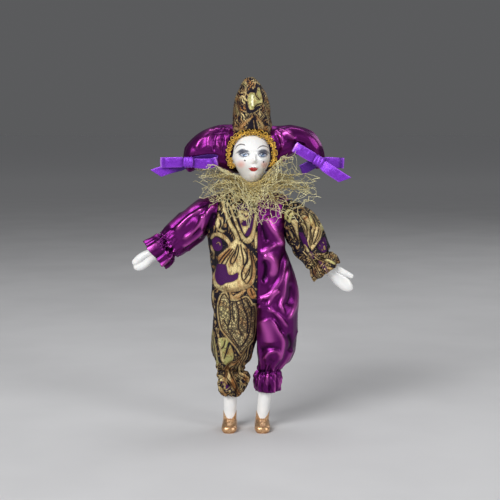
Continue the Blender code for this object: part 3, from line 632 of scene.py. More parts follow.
def area(u, v, points, rounded=True):
    """Signed distance to a closed outline, positive inside."""
    p = np.asarray(points, float)
    if rounded:
        n = len(p)
        line = []
        for i in range(n):
            a, b, c, d = p[i - 1], p[i], p[(i + 1) % n], p[(i + 2) % n]
            for t in (0.0, 0.25, 0.5, 0.75):
                line.append(0.5 * (2 * b + (c - a) * t + (2 * a - 5 * b + 4 * c - d) * t**2 + (3 * b - a - 3 * c + d) * t**3))
        p = np.array(line)
    best = np.full(u.shape, -4.0)
    low, high = p.min(0) - 4, p.max(0) + 4
    near = (u > low[0]) & (u < high[0]) & (v > low[1]) & (v < high[1])
    if not near.any():
        return best
    x, y = u[near], v[near]
    dist = np.full(x.shape, 99.0)
    inside = np.zeros(x.shape, bool)
    for a, b in zip(p, np.roll(p, -1, 0)):
        w = b - a
        t = np.clip(((x - a[0]) * w[0] + (y - a[1]) * w[1]) / (w @ w + 1e-9), 0, 1)
        np.minimum(dist, np.hypot(x - a[0] - t * w[0], y - a[1] - t * w[1]), out=dist)
        crosses = ((a[1] > y) != (b[1] > y)) & (x < w[0] * (y - a[1]) / (w[1] if w[1] else 1e-9) + a[0])
        inside ^= crosses
    best[near] = np.where(inside, dist, -dist)
    return best


class Cloth:
    """Ornament woven into a cloth, kept as distances to its edges."""

    def __init__(self, u, v):
        self.u, self.v = u, v
        self.gold = np.full(u.shape, -2.0)
        self.purple = np.full(u.shape, -2.0)
        self.stipple = np.zeros(u.shape)
        self.tint = np.zeros(u.shape)

    def add(self, inside, tint=None, stipple=None):
        self.gold = np.maximum(self.gold, inside)
        share = step(-0.6, 0.6, inside)
        if tint is not None:
            self.tint += (tint - self.tint) * share
        self.stipple += ((stipple or 0.0) - self.stipple) * share

    def cut(self, inside):
        self.gold = np.minimum(self.gold, -inside)

    def fill(self, inside):
        """A patch of purple ground."""
        self.cut(inside)
        self.purple = np.maximum(self.purple, inside)

    def rim(self, inside, depth, half):
        """A dark line inside a shape's edge."""
        self.cut(half - np.abs(inside - depth))

    def colour(self, inside, tint):
        share = step(-1.5, 1.5, inside)
        self.tint += (tint - self.tint) * share


def leaf(base, tip, width, bend=0.0):
    """A leaf's outline, from its base to its tip."""
    base, tip = np.array(base, float), np.array(tip, float)
    way = tip - base
    side = np.array([-way[1], way[0]]) / np.linalg.norm(way)
    out = []
    for t in (0.0, 0.18, 0.42, 0.68, 1.0):
        out.append(base + way * t + side * (width * math.sin(math.pi * min(1, t * 0.93 + 0.03)) ** 0.9 + bend * 4 * t * (1 - t)))
    for t in (0.72, 0.46, 0.2):
        out.append(base + way * t + side * (-width * math.sin(math.pi * t) ** 0.9 + bend * 4 * t * (1 - t)))
    return out


def small_scrolls(c, pitch, thin, tint, seed):
    """Thin sprigs wherever the large forms leave the ground bare."""
    spot = np.stack([c.u, c.v], -1)
    lane = c.u + 0.30 * c.v + 2.6 * waves(spot, 15.0, seed) + 0.7 * waves(spot, 6.0, seed + 1)
    sprig = np.sin(TAU * lane / pitch) - thin + 0.45 * waves(spot, 7.0, seed + 2)
    bare = -(np.maximum(c.gold, c.purple + 0.4) + 0.75)
    c.add(np.minimum(sprig, bare), tint)


def tangle(c, inside, seed):
    """Crowded gold scrolls with dark gaps, where `inside` is positive."""
    spot = np.stack([c.u, c.v], -1)
    lane = c.u - 0.45 * c.v + 3.0 * waves(spot, 14.0, seed) + 0.8 * waves(spot, 5.5, seed + 1)
    scroll = 0.9 * np.sin(TAU * lane / 4.3) + 0.25 * waves(spot, 4.0, seed + 2)
    c.add(np.minimum(np.minimum(scroll, 0.4 * inside), -(c.gold + 0.55)), 0.15)
    c.tint = c.tint + step(0.0, 6.0, inside) * 0.35 * waves(spot, 10.0, seed + 3)


def suit_ornament(u, v):
    """Large flame, leaf and paisley forms, u to the right and v downwards in mm."""
    c = Cloth(u, v)
    # Shoulder: small leaves and dots.
    for x, y, r in ((218, 199, 2.0), (223.5, 202, 1.7), (219, 206.5, 1.8), (224.6, 208.6, 1.5), (218.5, 212.5, 1.4), (222, 195, 1.8), (228.4, 203, 1.5), (234, 205, 1.5)):
        c.add(stroke(u, v, [(x, y), (x + 0.8, y + 1.8)], r), 0.0)
    c.add(area(u, v, [(216, 217.5), (220, 215.5), (224, 217), (224.5, 222), (222, 227), (226, 230.5), (222, 231), (217.5, 226.5)]), -0.2)
    c.cut(stroke(u, v, [(221.5, 219), (222, 223), (220.5, 226.5)], 0.8))
    # Two bands that cross on the chest, and the pendant between them.
    c.add(stroke(u, v, [(224.5, 206), (227.5, 214), (231.5, 223), (236, 232), (237.3, 238), (233.5, 242), (230.5, 243)], (1.0, 1.5, 1.9, 2.4, 2.2, 1.7, 1.0)), 0.0)
    c.add(stroke(u, v, [(231, 206), (235, 217), (238.8, 227), (243, 236.5), (247.5, 239), (252, 234.5), (254, 226), (255.5, 214)], (1.3, 1.5, 1.5, 2.3, 3.0, 2.5, 1.6, 1.2)), 0.25)
    c.fill(area(u, v, [(238, 205), (247, 203), (254, 208), (253, 222), (250.5, 231), (247, 234.5), (243.5, 231), (240, 221)]))
    c.add(area(u, v, [(238, 211), (242, 209), (248, 211), (249.5, 215), (247, 218.5), (242.5, 219), (246, 222.5), (249, 224), (247, 229), (244.5, 232.5), (242.5, 227), (240, 219)]), 0.1)
    c.fill(area(u, v, [(242, 221), (246, 220.5), (249, 222), (246.5, 224), (243, 224)]))
    c.cut(stroke(u, v, [(240.5, 212.5), (244, 213), (245.5, 215.5), (248, 214)], 0.5))
    c.cut(stroke(u, v, [(229.5, 206), (233.5, 218), (237.6, 229), (240, 237), (240.8, 243)], 0.55))
    c.add(stroke(u, v, [(258, 226), (256, 236), (255.3, 246)], (0.8, 1.7, 0.9)), 0.0)
    # Purple medallion under an arch.
    c.fill(stroke(u, v, [(217.5, 241), (218, 246)], 4.6))
    c.add(stroke(u, v, [(212.5, 238), (215, 234.2), (220, 233.4), (225.5, 237), (229.5, 243), (230, 249)], (1.1, 1.8, 2.2, 2.0, 1.7, 0.9)), 0.35)
    c.add(stroke(u, v, [(217, 243), (219.5, 241.5), (220.5, 244.5)], 0.5), 0.6)
    c.add(stroke(u, v, [(212, 246), (213.5, 252), (213.5, 259)], (0.9, 1.5, 0.8)), 0.4)
    # The flame: petals fanned from the crossing into a bowl.
    flame = area(u, v, [
        (238.5, 240), (244, 243.5), (250, 250.5), (254, 261), (255.2, 271), (253.5, 280.5), (248, 286),
        (240, 289), (231, 290.5), (221.5, 290), (215, 285), (212.8, 276), (215, 268.5), (219.5, 262),
        (218, 257), (223, 251), (231, 244.5),
    ])
    c.add(flame, 0.0)
    c.colour(stroke(u, v, [(246, 246), (252, 258), (253.6, 271), (250, 282)], 2.0), 0.75)
    c.colour(area(u, v, [(217, 258), (224, 251), (231, 246), (231, 252), (225, 260), (220, 263)]), 0.85)
    c.colour(stroke(u, v, [(226, 288), (236, 288), (246, 284)], 3.4), 0.5)
    c.fill(area(u, v, [
        (217.2, 264.5), (222, 263.2), (226.6, 264.2), (227.8, 269), (229.5, 273.2), (233.5, 273.4),
        (237.6, 271), (238.2, 276.5), (233.5, 280), (227, 281.6), (222, 284.4), (217.4, 281), (215.6, 272.5),
    ]))
    for line, size in (
        ([(237.6, 243.5), (235.5, 250), (231.4, 258), (231.2, 262.6), (234.3, 261.2), (237.6, 253), (238.6, 245)], 0.55),
        ([(240.4, 243.5), (241.6, 250), (243.2, 257), (243.6, 263.4), (246.2, 259.6), (246.6, 254), (243.4, 247)], 0.55),
        ([(246.4, 247), (247.2, 254.5), (247.5, 259), (243.6, 266), (241.6, 273), (243.8, 278.4), (248.6, 271.4), (250.2, 264)], 0.6),
        ([(249.2, 250.5), (251.4, 258), (251.6, 268), (251, 275), (247, 281.6), (244.2, 279.4)], 0.5),
        ([(245, 274.5), (248.6, 267.6)], 0.45), ([(234, 256.5), (236.2, 250.5)], 0.4),
        ([(219.6, 262.2), (224, 255), (229.5, 248.5)], 0.6), ([(222.4, 263), (226.4, 256.2), (232.5, 248)], 0.6),
        ([(226, 263.6), (229.4, 257), (234.2, 249)], 0.45),
    ):
        c.cut(stroke(u, v, line, size, 6 * len(line)))
    # Between the forms: a copper knot and dark gaps.
    c.add(stroke(u, v, [(230, 291), (233.5, 296), (238, 294), (245, 288.5)], (0.9, 2.0, 2.4, 1.0)), 0.6)
    c.add(area(u, v, [(247, 287.5), (251.5, 285.5), (255, 290), (256, 295), (252, 296.5), (248.5, 292.5)]), 0.9)
    c.cut(stroke(u, v, [(250.5, 287), (252.5, 293)], 0.45))
    # The stippled leaf with its rims, pointed at the knee.
    big = area(u, v, [
        (221.5, 292), (227, 291), (231.5, 297), (238, 297), (246, 293.5), (251.5, 298), (254.5, 308),
        (255, 326), (252.5, 338), (246.5, 348), (241, 354.5), (235, 345.5), (227, 335.5), (220.8, 327),
        (218.2, 314), (218.4, 301),
    ])
    c.add(big, 0.0, 0.0)
    c.stipple = np.where(big > 2.6, 1.0, c.stipple)
    c.rim(big, 2.1, 0.5)
    c.colour(area(u, v, [(240, 296), (250, 299), (253, 312), (252, 330), (245, 342), (240, 330), (239, 312)]), 0.45)
    c.colour(area(u, v, [(221, 300), (229, 300), (231, 316), (228, 328), (222, 318)]), -0.45)
    for line, size in (
        ([(229.4, 292), (230.5, 303), (231, 315), (229, 323)], 0.55), ([(233.5, 299), (232.6, 309), (234.6, 318)], 0.5),
        ([(241.5, 296), (244.5, 307), (246.2, 318), (245.4, 331)], 0.6), ([(247, 298), (250, 307), (249.4, 318)], 0.5),
        ([(236.8, 300), (239.2, 312), (238.4, 324), (241, 333)], 0.45), ([(228, 327), (233.5, 336), (240.6, 348)], 0.5),
        ([(225, 318), (229.5, 326.5), (236, 330)], 0.45), ([(249, 322), (246, 334), (240.8, 345)], 0.5),
    ):
        c.cut(stroke(u, v, line, size))
    # Side border: a pale line and beads on black.
    c.add(stroke(u, v, [(214, 291), (213.6, 297), (214.2, 302)], (0.9, 1.1, 0.6)), 0.0)
    for x, y in ((214.6, 305.5), (215.2, 313), (216, 320), (217.2, 327), (218.6, 333)):
        c.add(stroke(u, v, [(x, y), (x + 0.3, y + 1.6)], 1.05), 0.0)
    # Olive leaf beside the knee.
    olive = area(u, v, [(218.6, 337.5), (223, 335.4), (227.4, 336), (230.5, 342), (233.6, 350), (233.6, 357), (230, 361.5), (225.4, 364), (221.6, 359), (220.4, 350)])
    c.add(olive, -1.0)
    c.cut(stroke(u, v, [(229.4, 341), (227, 349), (224.4, 357)], (1.1, 0.8, 0.4)))
    c.cut(stroke(u, v, [(225.6, 338.5), (224, 344), (222, 347)], 0.5))
    c.colour(stroke(u, v, [(220, 339), (221.2, 350), (223, 360)], 0.8), 0.0)
    c.add(stroke(u, v, [(212, 329), (213.4, 340), (215.6, 352), (216.4, 362), (214.6, 370)], (1.2, 2.5, 2.4, 2.0, 0.8)), -0.8)
    c.cut(stroke(u, v, [(213, 335), (214.6, 348), (214.8, 360)], 0.5))
    for x, y in ((235.4, 352.6), (221.6, 366), (219.4, 369), (222.6, 371), (222.4, 374.6), (217.6, 374.5), (231.5, 365.5), (226.2, 366.6)):
        c.add(stroke(u, v, [(x, y), (x + 0.4, y + 0.7)], 0.85), 0.0)
    # Scrolls of the lower edge.
    scroll = stroke(u, v, [(241.2, 356), (237, 361.5), (230, 365.4), (227.4, 371), (229.4, 378.5), (234, 386), (238.5, 394)], (1.6, 2.8, 3.4, 3.8, 3.8, 3.2, 2.2))
    c.add(scroll, 0.8)
    c.rim(scroll, 1.3, 0.45)
    other = stroke(u, v, [(247.5, 346), (245, 356), (240.5, 365), (240, 374), (246, 380), (249.5, 388)], (1.2, 2.4, 2.8, 3.2, 3.4, 2.0))
    c.add(other, 0.35)
    c.rim(other, 1.3, 0.45)
    c.add(stroke(u, v, [(252, 348), (253.5, 358), (250.5, 368), (253, 378)], (0.8, 1.5, 1.7, 1.0)), 1.0)
    c.add(area(u, v, leaf((219, 377), (227.5, 387), 3.0)), 0.3)
    c.fill(area(u, v, leaf((221, 383), (231, 393), 2.6)))
    c.add(stroke(u, v, [(214.5, 380), (219, 389), (226, 396)], (0.8, 1.8, 1.4)), 0.2)
    c.fill(area(u, v, leaf((244, 397), (254, 384), 2.4)))
    small_scrolls(c, 4.4, 0.62, 0.75, 31)
    tangle(c, v - 362.0, 41)
    return c


def sleeve_ornament(u, v):
    """Long leaves down the sleeve, u to the right and v downwards in mm."""
    c = Cloth(u, v)
    # Olive leaf at the shoulder, above nearly black ground.
    c.add(area(u, v, [(284, 212), (287, 208), (291, 209), (294, 211.5), (291.5, 216), (289.5, 221.5), (286, 218.5), (283.5, 217)]), -0.85)
    c.add(stroke(u, v, [(289, 212.5), (293, 213), (297.5, 212)], (1.1, 1.3, 0.6)), -0.5)
    c.cut(stroke(u, v, [(290.5, 210.5), (287.5, 214), (287.5, 218)], 0.45))
    c.add(stroke(u, v, [(297, 207.5), (302, 207.5), (306.5, 212)], (0.5, 0.9, 0.5)), 0.3)
    c.fill(area(u, v, [(299, 208.5), (303, 209), (307, 214), (305, 216), (301, 212.5)]))
    # Gold leaf that tapers down the middle, and a thin one beside the armpit.
    c.add(area(u, v, [(290.4, 220), (293.5, 218), (296.4, 220), (296.8, 226), (297.6, 233), (298.2, 240.6), (295.2, 234), (293.4, 227)]), 0.0)
    c.colour(stroke(u, v, [(292.5, 222), (295, 230), (297.5, 239)], 0.7), 0.5)
    c.add(stroke(u, v, [(288.6, 229), (290.6, 233), (292.6, 237.5)], (0.5, 1.0, 0.5)), 0.25)
    for x, y in ((293.8, 240.8), (292, 242.8), (290.6, 226), (287.8, 224)):
        c.add(stroke(u, v, [(x, y), (x + 0.7, y + 0.8)], 0.6), 0.3)
    # The tall arch with its inner leaf.
    c.add(stroke(u, v, [(298.6, 220), (300.6, 216.6), (303.6, 216), (306.6, 219.4), (308.2, 226), (308.4, 234), (307.4, 241), (309.4, 247)], (0.6, 1.5, 2.2, 2.0, 1.5, 1.25, 1.1, 0.6)), 0.0)
    c.colour(stroke(u, v, [(298.6, 220), (301, 216.6), (304, 216.6)], 1.4), 0.45)
    c.fill(area(u, v, [(298, 223), (300.6, 228), (303.2, 234), (306.4, 240), (307, 246.5), (303, 244), (299.4, 236), (297, 228)]))
    c.purple = np.minimum(c.purple, 0.6 * (v - 231))
    c.add(area(u, v, [(299.4, 221.8), (302.4, 221.6), (305, 224), (306, 230), (305.6, 236.4), (303.8, 232.6), (302, 226.8)]), 0.15)
    c.cut(stroke(u, v, [(301.6, 223.6), (304, 229), (305, 235)], 0.4))
    # Olive stipple on the outer side and pale streaks above the gather.
    outer = area(u, v, [(307.2, 212.6), (311.4, 214.6), (315.4, 219.6), (318, 225), (314, 227.6), (310.6, 224.6), (308.4, 218.6)])
    c.add(outer, -0.7, 0.0)
    for line in ([(309, 214), (312.4, 220), (315, 226)], [(312, 215.6), (315.4, 221), (317.2, 225.6)]):
        c.cut(stroke(u, v, line, 0.4))
    c.add(area(u, v, [(319, 223), (322.6, 225.6), (322.4, 231.6), (319.8, 233.4), (318.2, 228)]), -0.6)
    streaks = area(u, v, [(311.4, 226.4), (315.4, 225.6), (319.6, 227), (320.4, 234), (317.2, 240.6), (312.6, 247.8), (310.2, 249), (309.8, 240), (310.6, 232)])
    c.add(streaks, 0.0, 0.0)
    for line, size in (
        ([(313.6, 228), (312.6, 236), (310.8, 244)], 0.42), ([(317, 228), (316, 235), (313, 242.6)], 0.42),
        ([(319, 230.6), (317.6, 236), (314.8, 240.6)], 0.32), ([(311.6, 231), (311, 238)], 0.3),
    ):
        c.cut(stroke(u, v, line, size))
    c.add(stroke(u, v, [(320.6, 231.6), (319.4, 236), (315.8, 242)], (0.4, 0.9, 0.5)), 0.0)
    c.fill(area(u, v, [(317.4, 241), (321, 236.4), (324.6, 236), (326.2, 242), (325.6, 249.6), (321.4, 249.8), (317.4, 246)]))
    c.add(stroke(u, v, [(323.8, 244.6), (324.2, 247)], 1.0), 0.0)
    for x, y in ((319.4, 243), (321.6, 247.4), (322.8, 240.4)):
        c.add(stroke(u, v, [(x, y), (x + 0.6, y + 0.9)], 0.45), 0.4)
    # Just above and below the elastic.
    c.add(area(u, v, [(303, 243.4), (305.6, 245.6), (308.2, 251), (305.8, 251.6), (303.4, 247.4)]), 0.1)
    c.add(stroke(u, v, [(302, 251), (305.6, 254.8)], (0.4, 0.7)), 0.2)
    c.fill(stroke(u, v, [(309.6, 252.6), (311, 256)], 2.0))
    c.add(stroke(u, v, [(319, 252), (322.4, 252.6), (326, 250.6)], (0.7, 1.2, 0.6)), -0.3)
    c.add(stroke(u, v, [(313, 255), (318, 258.4), (324, 260.6)], (0.5, 0.9, 0.5)), 0.1)
    c.add(stroke(u, v, [(322, 257.4), (328, 259), (333.6, 262)], (0.8, 1.5, 1.2)), -0.35)
    c.add(stroke(u, v, [(318.6, 262), (325, 265), (332, 267.6)], (0.7, 1.3, 1.4)), -0.1)
    c.add(stroke(u, v, [(322, 270.6), (327, 272.6), (331.6, 273.4)], (0.7, 1.1, 0.8)), 0.2)
    c.add(stroke(u, v, [(312, 258.6), (314.4, 263), (315, 267)], (0.5, 1.0, 0.5)), 0.35)
    c.add(stroke(u, v, [(315, 267), (318, 271.4), (320, 275)], (0.4, 0.7, 0.4)), 0.0)
    c.add(stroke(u, v, [(311.6, 266), (313.4, 271.6), (316.6, 277)], (0.5, 1.1, 0.5)), 0.9)
    c.fill(area(u, v, leaf((317.4, 258.6), (327.6, 270.8), 2.0)))
    small_scrolls(c, 4.0, 0.70, 0.55, 35)
    tangle(c, np.minimum(v - 251.0, u - 306.0), 45)
    tangle(c, np.minimum(222.0 - v, u - 300.0), 47)
    return c


def crown_ornament(u, v):
    """Fine slanting branches, with one pale leaf. u from -55 to 55, v up from 0."""
    c = Cloth(u, v)
    spot = np.stack([u, v], -1)
    beside = np.abs((u + 18.5) % 37.0 - 18.5)
    bend = 1.3 * waves(spot, 12.0, 6) + 0.35 * waves(spot, 5.5, 7)
    lane = beside * 0.95 - 0.42 * v + bend
    breaks = waves(np.stack([lane * 1.1, v * 0.40], -1), 4.4, 8)
    c.gold = 0.66 * np.sin(TAU * lane / 2.25) + 0.30 * breaks - 0.02
    c.tint = 0.35 + 0.45 * waves(spot, 13.0, 5)
    for x in (-37, 0, 37):
        dark = area(u, v, [(x - 6.4, -2), (x - 3.2, 5), (x + 2.6, 12.6), (x + 4.4, 6), (x + 6.0, -2)], False)
        c.cut(dark)
        c.add(stroke(u, v, [(x - 13.0, -0.5), (x - 6.4, 5.4), (x + 0.6, 11.0)], (1.5, 1.2, 0.7)), 0.7)
        c.add(stroke(u, v, [(x + 4.6, 10.6), (x + 9.0, 4.6), (x + 13.0, -0.5)], (0.6, 0.9, 1.1)), 0.6)
        for x0, lean in ((1.4, 1.0), (4.4, 2.6), (7.4, 2.6)):
            c.add(stroke(u, v, [(x + x0, 7.4), (x + x0 + 0.4 * lean, 3.6), (x + x0 + lean, -0.5)], 0.42), 0.7)
        c.cut(area(u, v, [(x - 5.0, 16), (x - 1, 14), (x + 5.2, 17), (x + 9.2, 22), (x + 13.4, 26), (x + 12, 33), (x + 9, 41.5), (x + 5, 42.5), (x + 3.6, 38), (x - 3.6, 35), (x - 5.6, 27)]))
        pale = area(u, v, [(x - 2.5, 18.6), (x + 1.0, 17.4), (x + 4.6, 20.6), (x + 10.6, 22.6), (x + 11.6, 27), (x + 10.4, 33), (x + 9, 38.4), (x + 6.6, 38.6), (x + 5.4, 34), (x + 0.6, 34.4), (x - 2.6, 32), (x - 3.8, 26)])
        c.add(pale, -0.75, 0.0)
        c.cut(stroke(u, v, [(x + 9.6, 23.6), (x + 5.6, 22.4), (x + 2.6, 19.6)], 0.5))
        c.cut(stroke(u, v, [(x + 8.4, 27.5), (x + 5.2, 30.5), (x + 4.6, 34)], 0.45))
        # Painted highlights in the middle of the pale leaf.
        c.colour(stroke(u, v, [(x + 0.6, 22), (x + 1.2, 31)], 1.2), -2.2)
        c.colour(stroke(u, v, [(x + 6.8, 26), (x + 8.4, 31)], 0.2), -1.8)
        c.add(stroke(u, v, [(x - 12, 29), (x - 8, 30), (x - 4.6, 26.4)], (0.7, 1.3, 0.8)), 0.0)
        c.add(stroke(u, v, [(x - 10, 33.5), (x - 6.6, 34.4), (x - 3.4, 31.4)], (0.6, 1.0, 0.6)), -0.3)
    return c


def mirror_repeat(u, low, width):
    return low + np.abs((u - low + width) % (2 * width) - width)


def weave_in(mesh, ornament, u, v, painted_crease_light=None):
    attribute(mesh, "cloth", np.stack([u, v, np.zeros_like(u)], -1), "FLOAT_VECTOR")
    attribute(mesh, "gold", np.clip(ornament.gold, -2, 2))
    attribute(mesh, "line", np.full(u.shape, -2.0))
    attribute(mesh, "purple", np.clip(ornament.purple, -2, 2))
    attribute(mesh, "stipple", ornament.stipple)
    attribute(mesh, "tint", ornament.tint)
    attribute(mesh, "painted_crease_light", np.zeros_like(u) if painted_crease_light is None else painted_crease_light)


def raise_motifs(mesh, ornament, height=0.32):
    """Gold motifs stand a little proud of the ground, rounded at their edges."""
    normals = np.empty(len(mesh.vertices) * 3)
    mesh.vertices.foreach_get("normal", normals)
    lift = height * MM * step(-0.35, 0.9, ornament.gold)
    co = np.empty(len(mesh.vertices) * 3)
    mesh.vertices.foreach_get("co", co)
    co = co.reshape(-1, 3) + normals.reshape(-1, 3) * lift[:, None]
    mesh.vertices.foreach_set("co", co.astype(np.float32).ravel())
    mesh.update()


def with_caps(values, caps=2):
    """Ring values followed by the value of each end's middle point."""
    flat = values.reshape(-1, *values.shape[2:])
    ends = [values[0].mean(0)[None], values[-1].mean(0)[None]][:caps]
    return np.concatenate([flat, *ends])


# ============================================================ garments

def front_view(points):
    """Where points show in the front picture, in its pixels of about 1 mm."""
    p = np.asarray(points, float) - VIEW_FROM
    depth = p @ VIEW_AHEAD
    return 250 + VIEW_FOCUS * p[..., 0] / depth, 250 - VIEW_FOCUS * (p @ VIEW_UP) / depth


VIEW_RISE = math.radians(6.0)
VIEW_AHEAD = np.array([0.0, math.cos(VIEW_RISE), -math.sin(VIEW_RISE)])
VIEW_UP = np.array([0.0, math.sin(VIEW_RISE), math.cos(VIEW_RISE)])
VIEW_AT = np.array([7.8, -8.0, 184.5])
VIEW_FAR = 1184.0
VIEW_FROM = VIEW_AT - VIEW_AHEAD * VIEW_FAR
VIEW_FOCUS = 85.0 / 36.0 * 500.0


def creases(x, y, items):
    """Raised folds drawn in the front view. Each is a line, its height, and its width
    on the two sides of the line."""
    total = np.zeros(x.shape)
    for points, height, left, right in items:
        line = smooth_line(points, 6 * len(points))
        best = np.full(x.shape, 1e9)
        side = np.zeros(x.shape)
        place = np.zeros(x.shape)
        for k, (a, b) in enumerate(zip(line[:-1], line[1:])):
            w = b - a
            t = np.clip(((x - a[0]) * w[0] + (y - a[1]) * w[1]) / (w @ w + 1e-9), 0, 1)
            dx, dy = x - a[0] - t * w[0], y - a[1] - t * w[1]
            d = np.hypot(dx, dy)
            nearer = d < best
            best = np.where(nearer, d, best)
            side = np.where(nearer, np.sign(w[0] * dy - w[1] * dx), side)
            place = np.where(nearer, (k + t) / (len(line) - 1), place)
        ends = step(0.0, 0.16, place) * step(0.0, 0.16, 1 - place)
        width = np.where(side > 0, right, left)
        total += height * ends * np.exp(-((np.sqrt(best**2 + 0.16) / width) ** 1.6))
    return total


def even_rings(rings, weights, count):
    """Resamples fine rings so that their points are evenly spaced by weight."""
    out = np.empty((len(rings), count, 3))
    extra = np.empty((len(rings), count))
    fine = np.linspace(0, 1, rings.shape[1])
    for i, (ring, weight) in enumerate(zip(rings, weights)):
        length = np.linalg.norm(np.diff(ring, axis=0), axis=1) * weight
        total = np.concatenate([[0], np.cumsum(length)])
        at = np.linspace(0, total[-1], count + 1)[:-1]
        share = np.interp(at, total, fine)
        extra[i] = share
        for k in range(3):
            out[i, :, k] = np.interp(share, fine, ring[:, k])
    return out, extra


def suit_rings(rows, side, n_rows, n_cols, turn_in=0):
    """Rings of a suit half from the neck to the hem. Rings start in the middle of
    the inner side and run over the front. Also gives each point's angle."""
    values = table(rows, np.linspace(0, 1, n_rows))
    angle = np.linspace(math.pi, 3 * math.pi, 721)
    c, s = np.cos(angle), np.sin(angle)
    rings, weights = [], []
    for z, inner, outer, front, back, round_in in values:
        half = abs(outer - inner) / 2
        bulge = half * round_in
        cx, cy = inner + side * bulge, (front + back) / 2
        power = 2.25 + 1.6 * math.exp(-(((z - 219.0) / 17.0) ** 4))
        reach = np.where(c >= 0, abs(outer - cx), max(bulge, 0.02))
        x = cx + side * reach * spow(c, 2 / power)
        y = cy + (back - cy) * spow(s, 2 / power)
        rings.append(np.stack([x, y, np.full_like(x, z)], -1))
        hidden = (c < -0.02)[:-1]
        weights.append(np.where(hidden, 0.10 + 0.90 * round_in, 1.0))
    grid, share = even_rings(np.array(rings), np.array(weights), n_cols)
    return grid, math.pi + TAU * share, values


def arc_u(grid, start_col_x=None):
    """Distance round each ring, counted slower where the cloth faces sideways."""
    move = np.diff(np.concatenate([grid, grid[:, :1]], 1), axis=1)
    length = np.linalg.norm(move, axis=-1)
    across = np.abs(move[..., 0])
    return np.concatenate([np.zeros((len(grid), 1)), np.cumsum(np.maximum(across, 0.62 * length), 1)], 1)[:, :-1]


def arc_v(grid):
    """Distance along a garment from its first ring, averaged round each ring."""
    length = np.linalg.norm(np.diff(grid, axis=0), axis=-1).mean(1)
    return np.concatenate([[0], np.cumsum(length)])


def gathers(angle, shift, seed, pleats):
    """Uneven pleats round a ring, -1 to 1."""
    rng = np.random.default_rng(seed)
    bent = angle + 0.10 * np.sin(2 * angle + rng.uniform(0, 6)) + 0.05 * np.sin(5 * angle + rng.uniform(0, 6))
    return (
        0.55 * np.cos(pleats * bent + shift)
        + 0.30 * np.cos((pleats + 5) * bent - 1.3 * shift + rng.uniform(0, 6))
        + 0.22 * np.cos((pleats * 2 + 3) * bent + rng.uniform(0, 6))
    )


def hem_inside(grid, pocket, wall=1.1, steps=7):
    """Rings that turn a frill's hem in and run up its inside to the elastic."""
    last = grid[-1]
    centre = last.mean(0)
    out = last - centre
    size = np.linalg.norm(out, axis=-1, keepdims=True)
    along = grid[-1].mean(0) - grid[-4].mean(0)
    along /= np.linalg.norm(along)
    rings = [last - out / size * wall * 0.30 + along * 0.35, last - out / size * wall * 0.75 + along * 0.30, last - out / size * wall]
    inner = rings[-1]
    for k in range(1, steps + 1):
        t = k / steps
        rings.append(inner + (pocket - inner) * (t**0.85))
    return np.concatenate([grid, np.array(rings)])


def even_pocket(centre, across, up, wide, high, like, middle):
    """A ring round the limb whose points lie in the directions of another ring's."""
    d = like - middle
    a = np.arctan2(d @ up, d @ across)
    return centre + np.cos(a)[:, None] * across * wide + np.sin(a)[:, None] * up * high


SATIN_SUIT_CREASES = [
    # points in the front view, height, width on each side
    ([(265, 215), (270, 226), (278, 236), (285.5, 249)], 2.0, 4.2, 2.6),
    ([(261, 222), (264, 232), (268, 243)], -1.4, 3.6, 3.6),
    ([(258, 254), (266, 250.5), (275, 246), (284, 243)], 1.3, 2.0, 1.7),
    ([(261, 256), (271, 258.5), (274, 266), (270, 278)], 2.1, 4.6, 3.4),
    ([(263, 259), (266.5, 269), (262.5, 284)], -2.0, 2.6, 2.4),
    ([(286.5, 250), (281.5, 262), (278.5, 275), (268, 290)], -1.2, 1.8, 2.0),
    ([(288, 255), (284.4, 266), (281, 280), (271, 293), (262, 303)], 1.2, 1.5, 2.4),
    ([(289, 265), (285.4, 280), (283.4, 295), (281, 305), (285, 317)], 1.6, 1.6, 2.0),
    ([(290.5, 266), (295.5, 283), (295, 300), (291, 312), (286, 321)], 1.8, 2.6, 1.8),
    ([(290, 282), (289.5, 297), (287, 306)], -1.2, 2.2, 2.2),
    ([(257, 299.5), (269, 294.8), (280.5, 289.6)], 1.5, 1.4, 2.2),
    ([(280.5, 289.8), (273, 297), (267.4, 307)], 1.3, 1.6, 1.8),
    ([(267.4, 306.5), (273, 312), (281, 318.4), (288, 329)], 1.6, 1.5, 2.4),
    ([(262, 300), (268, 302)], -1.0, 2.4, 2.4),
    ([(256.8, 310), (263, 305.6)], 1.3, 2.2, 2.0),
    ([(263, 318), (268, 331), (270, 345)], 1.6, 6.4, 5.0),
    ([(271, 311), (277, 322), (283, 333)], -1.3, 2.2, 2.2),
    ([(258, 350.5), (268, 347.0), (282, 349.5)], -1.2, 3.0, 2.2),
    ([(261.6, 361), (267.6, 353), (276, 350.2), (281, 355)], 1.5, 1.6, 1.9),
    ([(265.6, 364), (270, 359.6), (275, 363)], -0.8, 3.0, 2.8),
    ([(271, 317), (278, 330), (283, 340), (282, 351), (279, 363)], 1.8, 1.7, 2.3),
    ([(287, 332), (291, 343), (288, 352)], -1.4, 2.8, 2.6),
    ([(295.5, 347), (290, 353), (286.5, 361), (280, 367), (273, 371.5)], 1.5, 1.5, 2.3),
    ([(293, 361), (289, 367), (284, 374)], 1.1, 1.3, 1.6),
    ([(258.6, 318), (258.2, 336), (259, 352), (261, 368)], 1.0, 1.4, 1.6),
]

